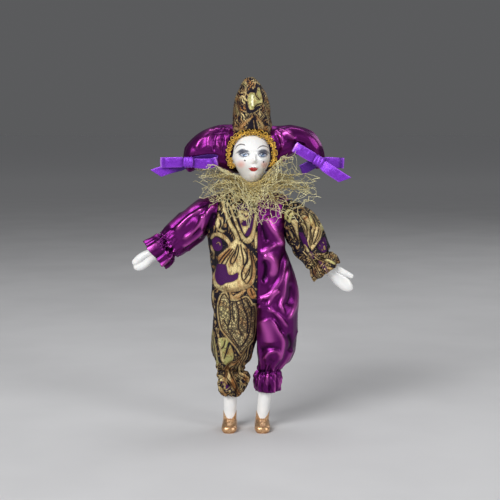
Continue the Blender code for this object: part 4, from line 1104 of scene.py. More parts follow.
BROCADE_SUIT_CREASES = [
    ([(212, 233), (219, 236), (226, 246)], 1.2, 2.4, 2.0),
    ([(211, 250), (216, 262), (212, 275)], -1.6, 2.6, 2.6),
    ([(238, 242), (233, 252), (226, 262)], 0.9, 2.4, 2.0),
    ([(251, 250), (252.6, 266), (249, 281)], -0.9, 2.2, 2.2),
    ([(215, 286), (228, 291), (242, 289), (254, 283)], -1.3, 1.8, 2.2),
    ([(246, 296), (250, 312), (251, 332)], -1.0, 2.2, 2.4),
    ([(221, 300), (222, 316), (226, 332)], 0.8, 2.8, 2.8),
    ([(250, 338), (244, 352), (239, 362)], -1.1, 2.0, 2.2),
    ([(218, 334), (219, 350), (223, 364)], 0.9, 2.0, 2.4),
    ([(233, 358), (228, 368), (227, 378)], -1.2, 1.5, 1.8),
    ([(242, 360), (238, 370), (240, 382)], 1.3, 1.6, 1.8),
    ([(222, 214), (228, 222), (234, 231)], 0.8, 2.0, 2.6),
]


def make_suit(name, side, rows, leg_x, material, ornament, drapes, seed):
    hem_z = rows[-1][0]
    coarse_rows, coarse_cols = 92, 80
    base, angle, values = suit_rings(rows, side, coarse_rows, coarse_cols)
    z = base[..., 2]
    round_in = values[:, 5][:, None]
    inner_x = values[:, 1][:, None]
    near_seam = np.exp(-((base[..., 0] - inner_x) / 2.2) ** 2) * (1 - round_in)
    hold = np.maximum(near_seam, step(239.0, 243.0, z))
    hold = np.maximum(hold, np.exp(-((z - GATHER_Z) / 3.0) ** 2))
    hold = np.maximum(hold, step(hem_z + 3, hem_z, z))
    grow = 0.075 if ornament is None else 0.05
    moved = settle(base, hold, 26, grow, 0.9 if ornament is None else 2.6, seed, 0.05, 0.0, 2.4, 3 if ornament is None else 2)
    base, grid = refine(base, 3), refine(moved, 3)
    cols = grid.shape[1]
    angle = np.stack([np.interp(np.arange(cols) / 3, np.arange(coarse_cols + 1), np.append(a, a[0] + TAU)) for a in angle])
    angle = np.stack([np.interp(np.arange(len(grid)) / 3, np.arange(coarse_rows), angle[:, k]) for k in range(cols)], 1)
    z = base[..., 2]
    normal = grid_normals(base)
    px, py = front_view(base)
    facing = step(0.10, 0.45, -normal[..., 1])
    round_f = np.interp(z[:, 0], values[::-1, 0], values[::-1, 5])[:, None]
    inner_f = np.interp(z[:, 0], values[::-1, 0], values[::-1, 1])[:, None]
    seam = np.exp(-((base[..., 0] - inner_f) / 2.0) ** 2) * (1 - round_f)
    free = 1 - np.maximum(seam, step(241.0, 245.0, z))

    # The cloth lies calmer in front, where its own folds are drawn.
    grid = base + (grid - base) * (1 - (0.62 if ornament is None else 0.35) * facing)[..., None]

    # Broad folds, then the large ones in front and looser ones behind.
    lean = np.stack([base[..., 0] * 1.0, base[..., 1], z * 0.42 + side * base[..., 0] * 0.35], -1)
    if ornament is None:
        loose = 0.9 * waves(lean, 25.0, seed + 3) + 1.5 * (ridges(lean, 23.0, seed + 8) - 0.35)
    else:
        loose = 0.8 * waves(lean, 21.0, seed + 3) + 0.35 * waves(lean, 9.0, seed + 4)
    amount = 1.1 if ornament is None else 0.75
    above = step(GATHER_Z + 2, GATHER_Z + 16, z)
    push = amount * loose * above * (1 - 0.88 * facing)
    push = push + facing * above**0.4 * creases(px, py, drapes) * (1.3 if ornament is None else 1.1)

    # Shirring at the elastic, spreading out above it and into the frill below.
    over, under = np.clip(z - GATHER_Z, 0, None), np.clip(GATHER_Z - z, 0, None)
    pleat = gathers(angle, 0.14 * over * side, seed + 11, 11)
    fine = gathers(angle, 0.35 * over, seed + 12, 23)
    push = push + pleat * (1.35 * np.exp(-((over / 15.0) ** 2)) * (under == 0))
    push = push + fine * (0.75 * np.exp(-((over / 8.0) ** 2)) * (under == 0))
    down = np.clip(under / (GATHER_Z - hem_z), 0, 1)
    frill = gathers(angle, 0.5 * down, seed + 13, 11)
    push = push + (under > 0) * (frill * (0.9 + 0.7 * down) + fine * 0.75 * np.exp(-((under / 8.0) ** 2)))
    upright = np.stack([base[..., 0], base[..., 1], z * 0.45], -1)
    crumple = waves(upright, 6.0, seed + 14) * 0.6 + waves(upright, 3.2, seed + 15) * 0.30
    push = push + crumple * step(GATHER_Z + 9, GATHER_Z - 3, z)
    push = push - 1.1 * np.exp(-(((z - GATHER_Z) / 1.5) ** 2))
    # The centre seam pulls in a small valley; the hidden inner wall stays flat.
    inner_wall = step(0.55, 0.85, -side * normal[..., 0]) * (z > 130) * (1 - round_f)
    push = (push * free - 0.9 * seam) * (1 - inner_wall)
    # Painted light: shade in the valleys and along the centre seam, highlight on the crests.
    painted_crease_light = np.clip(-0.42 * (push - 0.10), -1, 1) * free + 0.75 * np.exp(-((base[..., 0] - inner_f) / 0.7) ** 2) * (1 - round_f)
    grid = grid + normal * push[..., None]
    # The frill's hem dips unevenly.
    grid[..., 2] += (under > 0) * down**2 * (0.6 * frill + (0.3 if ornament is None else 0.9) * np.sin(3 * angle + seed))
    grid[..., 2] -= (under > 0) * down * (2.2 if ornament is None else 1.6)
    grid[..., 2] = np.maximum(grid[..., 2], hem_z - 2.5)
    # The halves meet at the centre seam.
    wall = SEAM_X - side * 0.08
    body = z > 132
    beyond = side * (grid[..., 0] - wall) < 0
    grid[..., 0] = np.where(body & (beyond | (inner_wall > 0.5)), wall, grid[..., 0])
    # Below it the stuffed legs press against each other down to the knee.
    press = step(82.0, 96.0, z) * (1 - body) * step(0.05, 0.7, -side * normal[..., 0])
    grid[..., 0] = grid[..., 0] - side * 2.6 * press
    beyond = side * (grid[..., 0] - wall) < 0
    grid[..., 0] = np.where((z > 80) & beyond, wall, grid[..., 0])

    # Ornament and thread coordinates.
    round_u = arc_u(base)
    front = np.array([np.interp(1.5 * math.pi, a, r) for a, r in zip(angle, round_u)])[:, None]
    centre_x = np.array([np.interp(1.5 * math.pi, a, p) for a, p in zip(angle, base[..., 0])])[:, None]
    u = 242.2 + centre_x + side * (round_u - front)
    v = 434.5 - z
    middle = grid[len(grid) - 1].mean(0)
    pocket_centre = np.array([leg_x, middle[1], GATHER_Z - 2.5])
    pocket = even_pocket(pocket_centre, np.array([1.0, 0, 0]), np.array([0, 1.0, 0]), 8.0, 7.8, grid[-1], middle)
    tight = even_pocket(pocket_centre + [0, 0, 0.4], np.array([1.0, 0, 0]), np.array([0, 1.0, 0]), 6.0, 6.0, grid[-1], middle)
    full = np.concatenate([hem_inside(grid, pocket), tight[None]])
    extra = len(full) - len(grid)
    u = np.concatenate([u, np.repeat(u[-1:], extra, 0)])
    v = np.concatenate([v, v[-1:] + 2.2 * np.arange(1, extra + 1)[:, None]])
    # Painted shade inside the hem, deepening towards the elastic.
    painted_crease_light = np.concatenate([painted_crease_light, np.linspace(0.3, 1.0, extra)[:, None] * np.ones((1, cols))])
    mesh = faces_out(tube_mesh(name + "_cloth", full))
    if ornament is None:
        attribute(mesh, "cloth", with_caps(np.stack([u, v, 0 * u], -1)), "FLOAT_VECTOR")
        attribute(mesh, "painted_crease_light", with_caps(painted_crease_light))
    else:
        flat_u = mirror_repeat(with_caps(u), 210.0, 47.0)
        woven = ornament(flat_u, with_caps(v))
        raise_motifs(mesh, woven)
        weave_in(mesh, woven, with_caps(u), with_caps(v), with_caps(painted_crease_light))
    obj = put(name + "_cloth", mesh, material)
    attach(obj, "root")
    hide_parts(name)
    return obj


RIGHT_HALF = [
    # z, inner x, outer x, front y, back y, roundness of the inner side
    (247.0, SEAM_X - 0.15, 0.5, -13.0, 5.5, 0.0), (243.5, SEAM_X - 0.15, -10.5, -17.5, 10.0, 0.0),
    (238.5, SEAM_X - 0.15, -24.0, -20.5, 13.5, 0.0), (230.0, SEAM_X - 0.15, -27.6, -23.5, 16.5, 0.0),
    (216.0, SEAM_X - 0.15, -29.4, -26.5, 18.5, 0.0), (200.0, SEAM_X - 0.15, -32.3, -27.5, 19.0, 0.0),
    (182.0, SEAM_X - 0.15, -31.4, -27.5, 19.0, 0.0), (163.0, SEAM_X - 0.15, -29.2, -26.5, 18.5, 0.0),
    (145.0, SEAM_X - 0.15, -28.8, -27.0, 18.5, 0.0), (134.0, SEAM_X - 0.15, -29.2, -26.5, 18.0, 0.15),
    (124.0, SEAM_X - 0.7, -29.6, -25.5, 17.5, 0.8), (110.0, SEAM_X - 2.2, -30.4, -24.5, 16.5, 1.0),
    (96.0, SEAM_X - 3.6, -30.8, -23.5, 16.0, 1.0), (84.0, 10.2, -30.6, -21.5, 16.0, 1.0),
    (74.0, 7.0, -29.0, -18.0, 14.5, 1.0), (66.0, 2.2, -26.6, -14.0, 11.5, 1.0),
    (61.0, 1.8, -25.4, -12.2, 10.4, 1.0), (55.0, 5.6, -24.2, -13.5, 11.5, 1.0),
    (47.0, 4.6, -23.6, -14.8, 12.6, 1.0), (37.5, -3.6, -20.6, -12.0, 10.6, 1.0),
]
LEFT_HALF = [
    (247.0, SEAM_X + 0.15, 20.5, -13.0, 5.5, 0.0), (243.5, SEAM_X + 0.15, 31.5, -17.5, 10.0, 0.0),
    (238.5, SEAM_X + 0.15, 42.0, -20.5, 13.5, 0.0), (230.0, SEAM_X + 0.15, 44.0, -23.5, 16.5, 0.0),
    (216.0, SEAM_X + 0.15, 43.9, -26.5, 18.5, 0.0), (200.0, SEAM_X + 0.15, 44.3, -27.5, 19.0, 0.0),
    (182.0, SEAM_X + 0.15, 45.8, -27.5, 19.0, 0.0), (163.0, SEAM_X + 0.15, 48.8, -26.5, 18.5, 0.0),
    (145.0, SEAM_X + 0.15, 51.8, -27.0, 18.5, 0.0), (134.0, SEAM_X + 0.15, 53.2, -26.5, 18.0, 0.15),
    (124.0, SEAM_X + 0.7, 54.0, -25.5, 17.5, 0.8), (110.0, SEAM_X - 0.6, 54.4, -24.5, 16.5, 1.0),
    (96.0, SEAM_X - 1.6, 54.0, -23.5, 16.0, 1.0), (84.0, 13.4, 52.0, -21.5, 16.0, 1.0),
    (74.0, 14.4, 47.6, -18.0, 14.5, 1.0), (66.0, 15.2, 41.4, -13.5, 11.5, 1.0),
    (61.0, 15.0, 39.4, -12.0, 10.4, 1.0), (56.0, 13.2, 38.8, -12.8, 11.2, 1.0),
    (49.5, 13.0, 38.4, -13.4, 11.8, 1.0), (42.0, 14.6, 37.6, -12.6, 11.0, 1.0),
]


# ------------------------------------------------------------- sleeves

SATIN_SLEEVE_CREASES = [
    ([(210, 197.5), (198, 204.5), (186, 212), (175, 220), (166, 228)], 1.6, 2.2, 2.2),
    ([(211, 202), (200, 207.5), (188, 215), (178, 223), (170, 230.5)], -1.7, 1.8, 1.8),
    ([(206, 209), (198, 211.5), (190, 216), (182, 224), (175, 232)], 1.9, 2.0, 4.0),
    ([(202, 213), (201, 220), (197, 227), (190, 234), (180, 240)], 1.8, 3.4, 1.6),
    ([(216, 203), (210, 210), (205, 216.5), (202.5, 224), (200.5, 231)], 2.2, 1.8, 1.8),
    ([(206.5, 213), (203.6, 220), (199.4, 229), (193, 236)], -1.8, 1.3, 1.3),
    ([(205, 229), (198, 236), (190, 242), (181, 247)], 1.6, 1.6, 1.8),
    ([(201, 237), (193, 243), (184, 249.5)], -1.3, 1.4, 1.4),
    ([(203, 239), (196, 246), (188, 251)], 1.2, 1.5, 2.2),
    ([(215.5, 211), (212, 219), (209, 229), (207, 236)], -2.4, 4.2, 3.4),
]
BROCADE_SLEEVE_CREASES = [
    ([(290, 211), (297, 220), (302, 234), (309, 250)], 1.6, 2.6, 2.4),
    ([(296, 210), (305, 222), (311, 236), (312, 250)], -1.5, 1.8, 1.8),
    ([(305, 212), (314, 224), (317, 236), (313, 250)], 1.8, 2.4, 2.4),
    ([(291, 226), (297, 240), (306, 252)], -1.2, 2.2, 2.2),
    ([(322, 226), (322, 240), (315, 251)], -1.2, 1.8, 1.8),
    ([(294, 244), (302, 252), (309, 256)], 1.1, 1.8, 1.8),
    ([(311, 254), (318, 260), (328, 266)], 1.2, 1.4, 1.8),
    ([(310, 255), (314, 264), (320, 274)], -1.2, 1.5, 1.8),
    ([(309, 257), (308, 268), (313, 277)], 1.1, 1.5, 1.5),
]
RIGHT_SLEEVE = [
    # top x, z; bottom x, z; half depth; middle y
    (-23.0, 237.6, -28.2, 203.0, 20.4, -5.2), (-43.0, 232.0, -35.4, 200.2, 19.2, -5.6),
    (-58.0, 222.2, -43.6, 193.4, 16.2, -6.0), (-70.0, 212.6, -52.2, 186.2, 13.5, -7.0),
    (-79.2, 203.6, -62.4, 179.6, 11.5, -8.0), (-82.2, 200.4, -66.6, 178.0, 10.0, -8.5),
    (-89.4, 196.6, -70.6, 171.8, 12.0, -9.0), (-97.6, 192.3, -76.4, 166.3, 13.0, -9.5),
]
LEFT_SLEEVE = [
    (41.6, 235.6, 42.6, 200.6, 20.0, -5.2), (57.6, 230.4, 47.2, 193.0, 18.6, -5.6),
    (70.6, 218.6, 51.6, 184.6, 15.5, -6.0), (79.6, 205.6, 56.6, 177.0, 13.5, -7.0),
    (85.4, 190.0, 62.6, 169.4, 11.5, -8.0), (87.2, 183.6, 67.2, 165.2, 10.0, -8.5),
    (93.6, 178.6, 70.4, 160.2, 12.5, -9.0), (96.4, 172.6, 73.6, 155.0, 13.5, -9.5),
]


def make_sleeve(name, side, rows, material, ornament, drapes, seed):
    coarse_rows, coarse_cols = 70, 66
    share = np.linspace(0, 1, coarse_rows)
    values = table(rows, share)
    start = math.pi
    a = start + np.arange(coarse_cols) / coarse_cols * TAU
    rings = []
    for tx, tz, bx, bz, deep, my in values:
        top, bottom = np.array([tx, my, tz]), np.array([bx, my, bz])
        centre, up = (top + bottom) / 2, top - bottom
        half = np.linalg.norm(up) / 2
        up = up / (2 * half)
        # From the underside over the front to the top and down the back.
        ring = centre + up * (half * spow(np.cos(a), 2 / 2.15))[:, None]
        ring = ring + np.array([0, 1, 0]) * (-deep * spow(np.sin(a - math.pi), 2 / 2.15))[:, None]
        rings.append(ring)
    base = np.array(rings)
    angle = np.broadcast_to(a, base.shape[:2])
    gather = 5 / 7
    t = np.broadcast_to(share[:, None], base.shape[:2])
    hold = np.maximum(step(0.07, 0.0, t), np.exp(-(((t - gather) / 0.03) ** 2)))
    hold = np.maximum(hold, step(0.97, 1.0, t))
    grow = 0.085 if ornament is None else 0.06
    moved = settle(base, hold, 26, grow, 0.8 if ornament is None else 2.2, seed, 0.05, 0.0, 2.2, 3 if ornament is None else 2)
    base, grid = refine(base, 3), refine(moved, 3)
    n, cols = grid.shape[:2]
    t = np.linspace(0, 1, n)[:, None] * np.ones((1, cols))
    angle = start + np.arange(cols) / cols * TAU + 0 * t
    along = arc_v(base)
    mid_at = np.interp(gather, np.linspace(0, 1, n), along)
    s = along[:, None] + 0 * t
    over, under = np.clip(mid_at - s, 0, None), np.clip(s - mid_at, 0, None)
    normal = grid_normals(base)
    px, py = front_view(base)
    facing = step(0.05, 0.4, -normal[..., 1])
    grid = base + (grid - base) * (1 - (0.6 if ornament is None else 0.35) * facing)[..., None]
    lengthwise = np.stack([angle * 9.0, s * 0.45 + 3.0 * np.sin(angle)], -1)
    above = step(2.0, 16.0, over)
    if ornament is None:
        loose = 0.9 * waves(lengthwise, 17.0, seed + 3) + 1.3 * (ridges(lengthwise, 17.0, seed + 8) - 0.35)
    else:
        loose = 0.75 * waves(lengthwise, 15.0, seed + 3) + 0.35 * waves(lengthwise, 8.0, seed + 4)
    push = loose * above * (1 - 0.85 * facing)
    push = push + facing * step(1.0, 9.0, over) ** 0.4 * creases(px, py, drapes) * (1.25 if ornament is None else 1.1)
    if ornament is not None:
        push = push + facing * (under > 0) * creases(px, py, drapes) * 0.8
    pleat = gathers(angle, 0.10 * over, seed + 11, 9)
    fine = gathers(angle, 0.4 * over, seed + 12, 19)
    push = push + pleat * 1.1 * np.exp(-((over / 9.0) ** 2)) * (under == 0)
    push = push + fine * 0.6 * np.exp(-((over / 5.0) ** 2)) * (under == 0)
    down = under / max(under.max(), 1e-6)
    frill = gathers(angle, 0.35 * down, seed + 13, 6)
    push = push + (under > 0) * (frill * (1.0 + 1.2 * down) + fine * 0.5 * np.exp(-((under / 5.0) ** 2)))
    # Little curls where the elastic bunches the cloth.
    crumple = waves(base, 6.0, seed + 14) * 0.5 + waves(base, 3.6, seed + 15) * 0.28
    push = push + crumple * np.exp(-((s - mid_at) / 5.5) ** 2) * (1.1 if ornament is None else 0.9)
    push = push - 1.0 * np.exp(-(((s - mid_at) / 1.4) ** 2))
    # Painted light: shade in the valleys of the folds, highlight on their crests.
    painted_crease_light = np.clip(-0.42 * (push - 0.10), -1, 1)
    grid = grid + normal * push[..., None]
    axis = base[-1].mean(0) - base[-30].mean(0)
    axis /= np.linalg.norm(axis)
    grid = grid + axis * ((under > 0) * down**2 * (0.9 * frill))[..., None]

    centre = table(rows, gather)[0]
    top, bottom = np.array([centre[0], centre[5], centre[1]]), np.array([centre[2], centre[5], centre[3]])
    pocket_centre = (top + bottom) / 2 + axis * 1.2
    up = (top - bottom) / np.linalg.norm(top - bottom)
    middle = grid[-1].mean(0)
    pocket = even_pocket(pocket_centre, up, np.array([0, 1.0, 0]), 7.6, 6.2, grid[-1], middle)
    tight = even_pocket(pocket_centre - axis * 0.4, up, np.array([0, 1.0, 0]), 4.4, 4.0, grid[-1], middle)
    full = np.concatenate([hem_inside(grid, pocket), tight[None]])
    extra = len(full) - n
    round_u = np.cumsum(np.linalg.norm(np.diff(np.concatenate([base[:, -1:], base], 1), axis=1), axis=-1), 1)
    front = np.array([np.interp(1.5 * math.pi, g, r) for g, r in zip(angle, round_u)])[:, None]
    u = (round_u - front) * side
    v = s
    u = np.concatenate([u, np.repeat(u[-1:], extra, 0)])
    v = np.concatenate([v, v[-1:] + 2.0 * np.arange(1, extra + 1)[:, None]])
    # Painted shade inside the hem, deepening towards the elastic.
    painted_crease_light = np.concatenate([painted_crease_light, np.linspace(0.3, 1.0, extra)[:, None] * np.ones((1, cols))])
    mesh = faces_out(tube_mesh(name + "_cloth", full))
    if ornament is None:
        attribute(mesh, "cloth", with_caps(np.stack([u, v, 0 * u], -1)), "FLOAT_VECTOR")
        attribute(mesh, "painted_crease_light", with_caps(painted_crease_light))
    else:
        # The ornament is laid out in the front view: across from each ring's middle,
        # squeezed towards the edges, and mirrored round the back.
        front_x = 242.2 + (base.max(1)[:, 0] + base.min(1)[:, 0]) / 2
        front_y = 434.5 - (base.max(1)[:, 2] + base.min(1)[:, 2]) / 2
        rise = base[:, cols // 2] - base[:, 0]
        rise = rise / np.linalg.norm(rise, axis=1, keepdims=True)
        half = np.linalg.norm(base[:, cols // 2] - base[:, 0], axis=1) / 2
        quarter = round_u.max(1) / 4
        turn = mirror_repeat((round_u - front) / quarter[:, None], -1.0, 2.0)
        across = np.sin(turn * math.pi / 2) * (half * 1.04)[:, None]
        flat_x = front_x[:, None] + across * rise[:, 0:1]
        flat_y = front_y[:, None] - across * rise[:, 2:3]
        flat_x = np.concatenate([flat_x, np.repeat(flat_x[-1:], extra, 0)])
        flat_y = np.concatenate([flat_y, np.repeat(flat_y[-1:], extra, 0)])
        woven = ornament(with_caps(flat_x), with_caps(flat_y))
        raise_motifs(mesh, woven)
        weave_in(mesh, woven, with_caps(u), with_caps(v), with_caps(painted_crease_light))
    obj = put(name + "_cloth", mesh, material)
    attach(obj, "root")
    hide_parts(name)
    return obj


# ----------------------------------------------------------------- cap

CROWN_ROWS = [
    # z, middle x, half width, half depth
    (305.9, 10.0, 18.9, 17.2), (312.0, 9.9, 18.8, 17.0), (320.0, 9.6, 18.2, 16.2),
    (328.0, 9.3, 17.1, 15.0), (336.0, 9.0, 15.1, 13.0), (343.0, 8.7, 12.2, 10.7),
    (349.0, 8.4, 8.7, 7.8), (353.4, 8.0, 4.8, 4.3), (356.0, 7.6, 1.2, 1.1),
]
CROWN_Y = -2.5


def make_crown(material):
    coarse_rows, coarse_cols = 52, 64
    values = table(CROWN_ROWS, np.linspace(0, 1, coarse_rows))
    a = math.pi / 2 + np.arange(coarse_cols) / coarse_cols * TAU
    x = values[:, 1][:, None] + values[:, 2][:, None] * spow(np.cos(a), 2 / 2.1)
    y = CROWN_Y + values[:, 3][:, None] * spow(np.sin(a), 2 / 2.1)
    z = values[:, 0][:, None] + 0 * x
    t = np.linspace(0, 1, coarse_rows)[:, None] + 0 * x
    # The lower edge follows the braid down on both sides of the face.
    z = z - 8.0 * np.clip(1 - t / 0.34, 0, 1) ** 1.4 * ((x - 10.3) / 20.0) ** 2 * step(-2.0, -8.0, y)
    base = np.stack([x, y, z], -1)
    hold = np.maximum(step(0.06, 0.0, t), step(0.93, 1.0, t))
    moved = settle(base, hold, 22, 0.05, 2.6, 71, 0.08, 0.0, 1.1, 3)
    base, grid = refine(base, 3), refine(moved, 3)
    n, cols = grid.shape[:2]
    angle = math.pi / 2 + np.arange(cols) / cols * TAU + np.zeros((n, 1))
    normal = grid_normals(base)
    z = base[..., 2]
    lean = np.stack([base[..., 0], base[..., 1], z * 0.6], -1)
    push = 0.35 * waves(lean, 13.0, 72) + 0.30 * (ridges(lean, 12.0, 73) - 0.4)
    push = push + 0.45 * gathers(angle, 0, 74, 9) * np.exp(-(((z - 306) / 6.0) ** 2))
    push = push + 0.5 * gathers(angle, 0, 75, 6) * step(340, 352, z)
    # A quarter seam in front and behind.
    push = push - 0.5 * np.exp(-((np.cos(angle - 1.2) / 0.05) ** 2))
    grid = grid + normal * push[..., None]
    grid[..., 2] = np.minimum(grid[..., 2], 357.0)
    # The lower edge turns in.
    low = base[0] + (base[0].mean(0) - base[0]) * 0.12 - np.array([0, 0, 0.6])
    full = np.concatenate([low[None], grid])
    arc = np.cumsum(np.linalg.norm(np.diff(np.concatenate([base[:, :1], base], 1), axis=1), axis=-1), 1)
    front = arc[:, cols // 2][:, None]
    u = arc - front
    u = np.concatenate([u[:1], u])
    v = np.concatenate([z[:1] - 306.5, z - 305.9])
    # Painted shade in the valleys of the folds.
    painted_crease_light = np.clip(-0.35 * push, 0, 1)
    painted_crease_light = np.concatenate([painted_crease_light[:1], painted_crease_light])
    mesh = faces_out(tube_mesh("hat_crown_cloth", full))
    weave_in(mesh, crown_ornament(with_caps(u), with_caps(v)), with_caps(u), with_caps(v), with_caps(painted_crease_light))
    obj = put("hat_crown_cloth", mesh, material)
    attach(obj, "root")
    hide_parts("hat_crown")


RIGHT_HORN = [
    # middle x, y, z; half thickness; half depth
    (HEAD[0] - 0.15, 8.0, 284.0, 24.5, 17.5), (-6.0, 6.5, 285.5, 24.0, 17.0), (-20.0, 4.5, 287.0, 21.3, 16.0),
    (-33.0, 2.5, 286.0, 17.6, 14.5), (-43.5, 1.0, 280.8, 13.8, 12.0), (-49.6, 0.0, 273.4, 9.4, 8.5),
    (-52.2, -0.5, 266.4, 5.2, 5.0), (-52.8, -0.5, 262.4, 1.6, 1.6),
]
LEFT_HORN = [
    (HEAD[0] + 0.15, 8.0, 284.0, 24.5, 17.5), (22.0, 6.5, 285.6, 21.8, 16.6), (36.0, 4.5, 290.0, 17.6, 15.0),
    (50.0, 2.5, 293.4, 14.3, 13.4), (62.0, 1.0, 290.0, 12.8, 11.6), (70.2, 0.0, 281.0, 10.2, 9.3),
    (74.4, -0.5, 271.6, 6.2, 6.0), (75.4, -0.5, 265.6, 1.8, 1.8),
]
RIGHT_HORN_CREASES = [
    ([(231, 128), (226, 138), (228, 154)], 1.5, 1.6, 1.9), ([(226, 127), (218, 137), (219, 152)], 1.5, 1.6, 2.0),
    ([(220, 127), (210, 137), (209, 150)], 1.3, 1.8, 2.2), ([(223, 129), (214.5, 140), (214, 153)], -1.2, 1.4, 1.4),
    ([(214, 128), (202, 139), (196, 150)], 1.2, 2.2, 2.6), ([(229, 130), (222.5, 142), (223.5, 156)], -1.3, 1.3, 1.3),
]
LEFT_HORN_CREASES = [
    ([(273, 129), (281, 138), (282, 152)], 1.3, 1.5, 1.7), ([(276, 128), (288, 134), (296, 141)], 1.5, 1.8, 2.2),
    ([(275, 134), (280, 146), (277, 158)], -1.2, 1.3, 1.3), ([(283, 128), (300, 131), (314, 140), (321, 152)], 1.3, 2.6, 2.8),
    ([(284, 139), (296, 144), (306, 146)], -1.6, 2.0, 2.4),
]


def make_horn(name, side, rows, drapes, material, seed):
    coarse_rows, coarse_cols = 46, 52
    values = table(rows, np.linspace(0, 1, coarse_rows))
    way = np.gradient(values[:, :3], axis=0)
    way /= np.linalg.norm(way, axis=1, keepdims=True)
    way[0] = (side, 0, 0)
    a = math.pi + np.arange(coarse_cols) / coarse_cols * TAU
    rings = []
    for (x, y, z, half, deep), w in zip(values, way):
        up = np.array([-w[2] * side, 0, w[0] * side])
        up /= np.linalg.norm(up)
        ring = np.array([x, y, z]) + up * (half * spow(np.cos(a), 2 / 2.1))[:, None]
        rings.append(ring + np.array([0, 1, 0]) * (-deep * spow(np.sin(a - math.pi), 2 / 2.1))[:, None])
    base = np.array(rings)
    t = np.linspace(0, 1, coarse_rows)[:, None] + np.zeros((1, coarse_cols))
    hold = np.maximum(step(0.30, 0.12, t), step(0.9, 1.0, t))
    moved = settle(base, hold, 22, 0.06, 0.9, seed, 0.05, 0.0, 1.6, 3)
    base, grid = refine(base, 3), refine(moved, 3)
    n, cols = grid.shape[:2]
    t = np.linspace(0, 1, n)[:, None] + np.zeros((1, cols))
    angle = math.pi + np.arange(cols) / cols * TAU + 0 * t
    s = arc_v(base)[:, None] + 0 * t
    normal = grid_normals(base)
    px, py = front_view(base)
    facing = step(0.0, 0.35, -normal[..., 1])
    grid = base + (grid - base) * (1 - 0.5 * facing)[..., None]
    lengthwise = np.stack([angle * 11.0, s * 0.4], -1)
    push = (waves(lengthwise, 17.0, seed + 3) * 0.6 + 0.9 * (ridges(lengthwise, 19.0, seed + 5) - 0.4)) * (1 - 0.75 * facing)
    push = push + 0.9 * gathers(angle, 0.03 * s, seed + 6, 8) * np.exp(-(((t - 0.30) / 0.2) ** 2)) * (1 - 0.5 * facing)
    push = push + facing * creases(px, py, drapes)
    push = push * step(1.0, 0.9, t)
    # The seam along the horn's upper edge.
    push = push - 0.7 * np.exp(-((np.sin(angle) / 0.045) ** 2)) * (np.cos(angle) > 0)
    grid = grid + normal * push[..., None]
    # Painted light: shade in the valleys of the folds, highlight on their crests.
    painted_crease_light = np.clip(-0.42 * (push - 0.10), -1, 1)
    # Deep shade where the horn meets the crown and the braid.
    close = step(30.0, 22.0, np.hypot(base[..., 0] - HEAD[0], base[..., 2] - 279.6)) * step(8.0, -2.0, base[..., 1])
    painted_crease_light = np.maximum(painted_crease_light, close + (1 - close) * painted_crease_light.clip(-1, 0))
    u = angle * 12.0
    mesh = faces_out(tube_mesh(name + "_cloth", grid))
    attribute(mesh, "cloth", with_caps(np.stack([u, s, 0 * s], -1)), "FLOAT_VECTOR")
    attribute(mesh, "painted_crease_light", with_caps(painted_crease_light))
    obj = put(name + "_cloth", mesh, material)
    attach(obj, "root")
    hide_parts(name)


def braid_line(angle):
    """The middle of the braid round the face, from an angle in radians."""
    rise = np.sin(angle)
    x = HEAD[0] + 0.2 + 23.6 * np.cos(angle)
    z = 279.6 + np.where(rise > 0, 23.4, 20.0) * rise
    y = -13.0 - 2.4 * np.maximum(0, rise) ** 2 + 1.5 * np.maximum(0, -rise)
    return np.stack([x, y, z], -1)


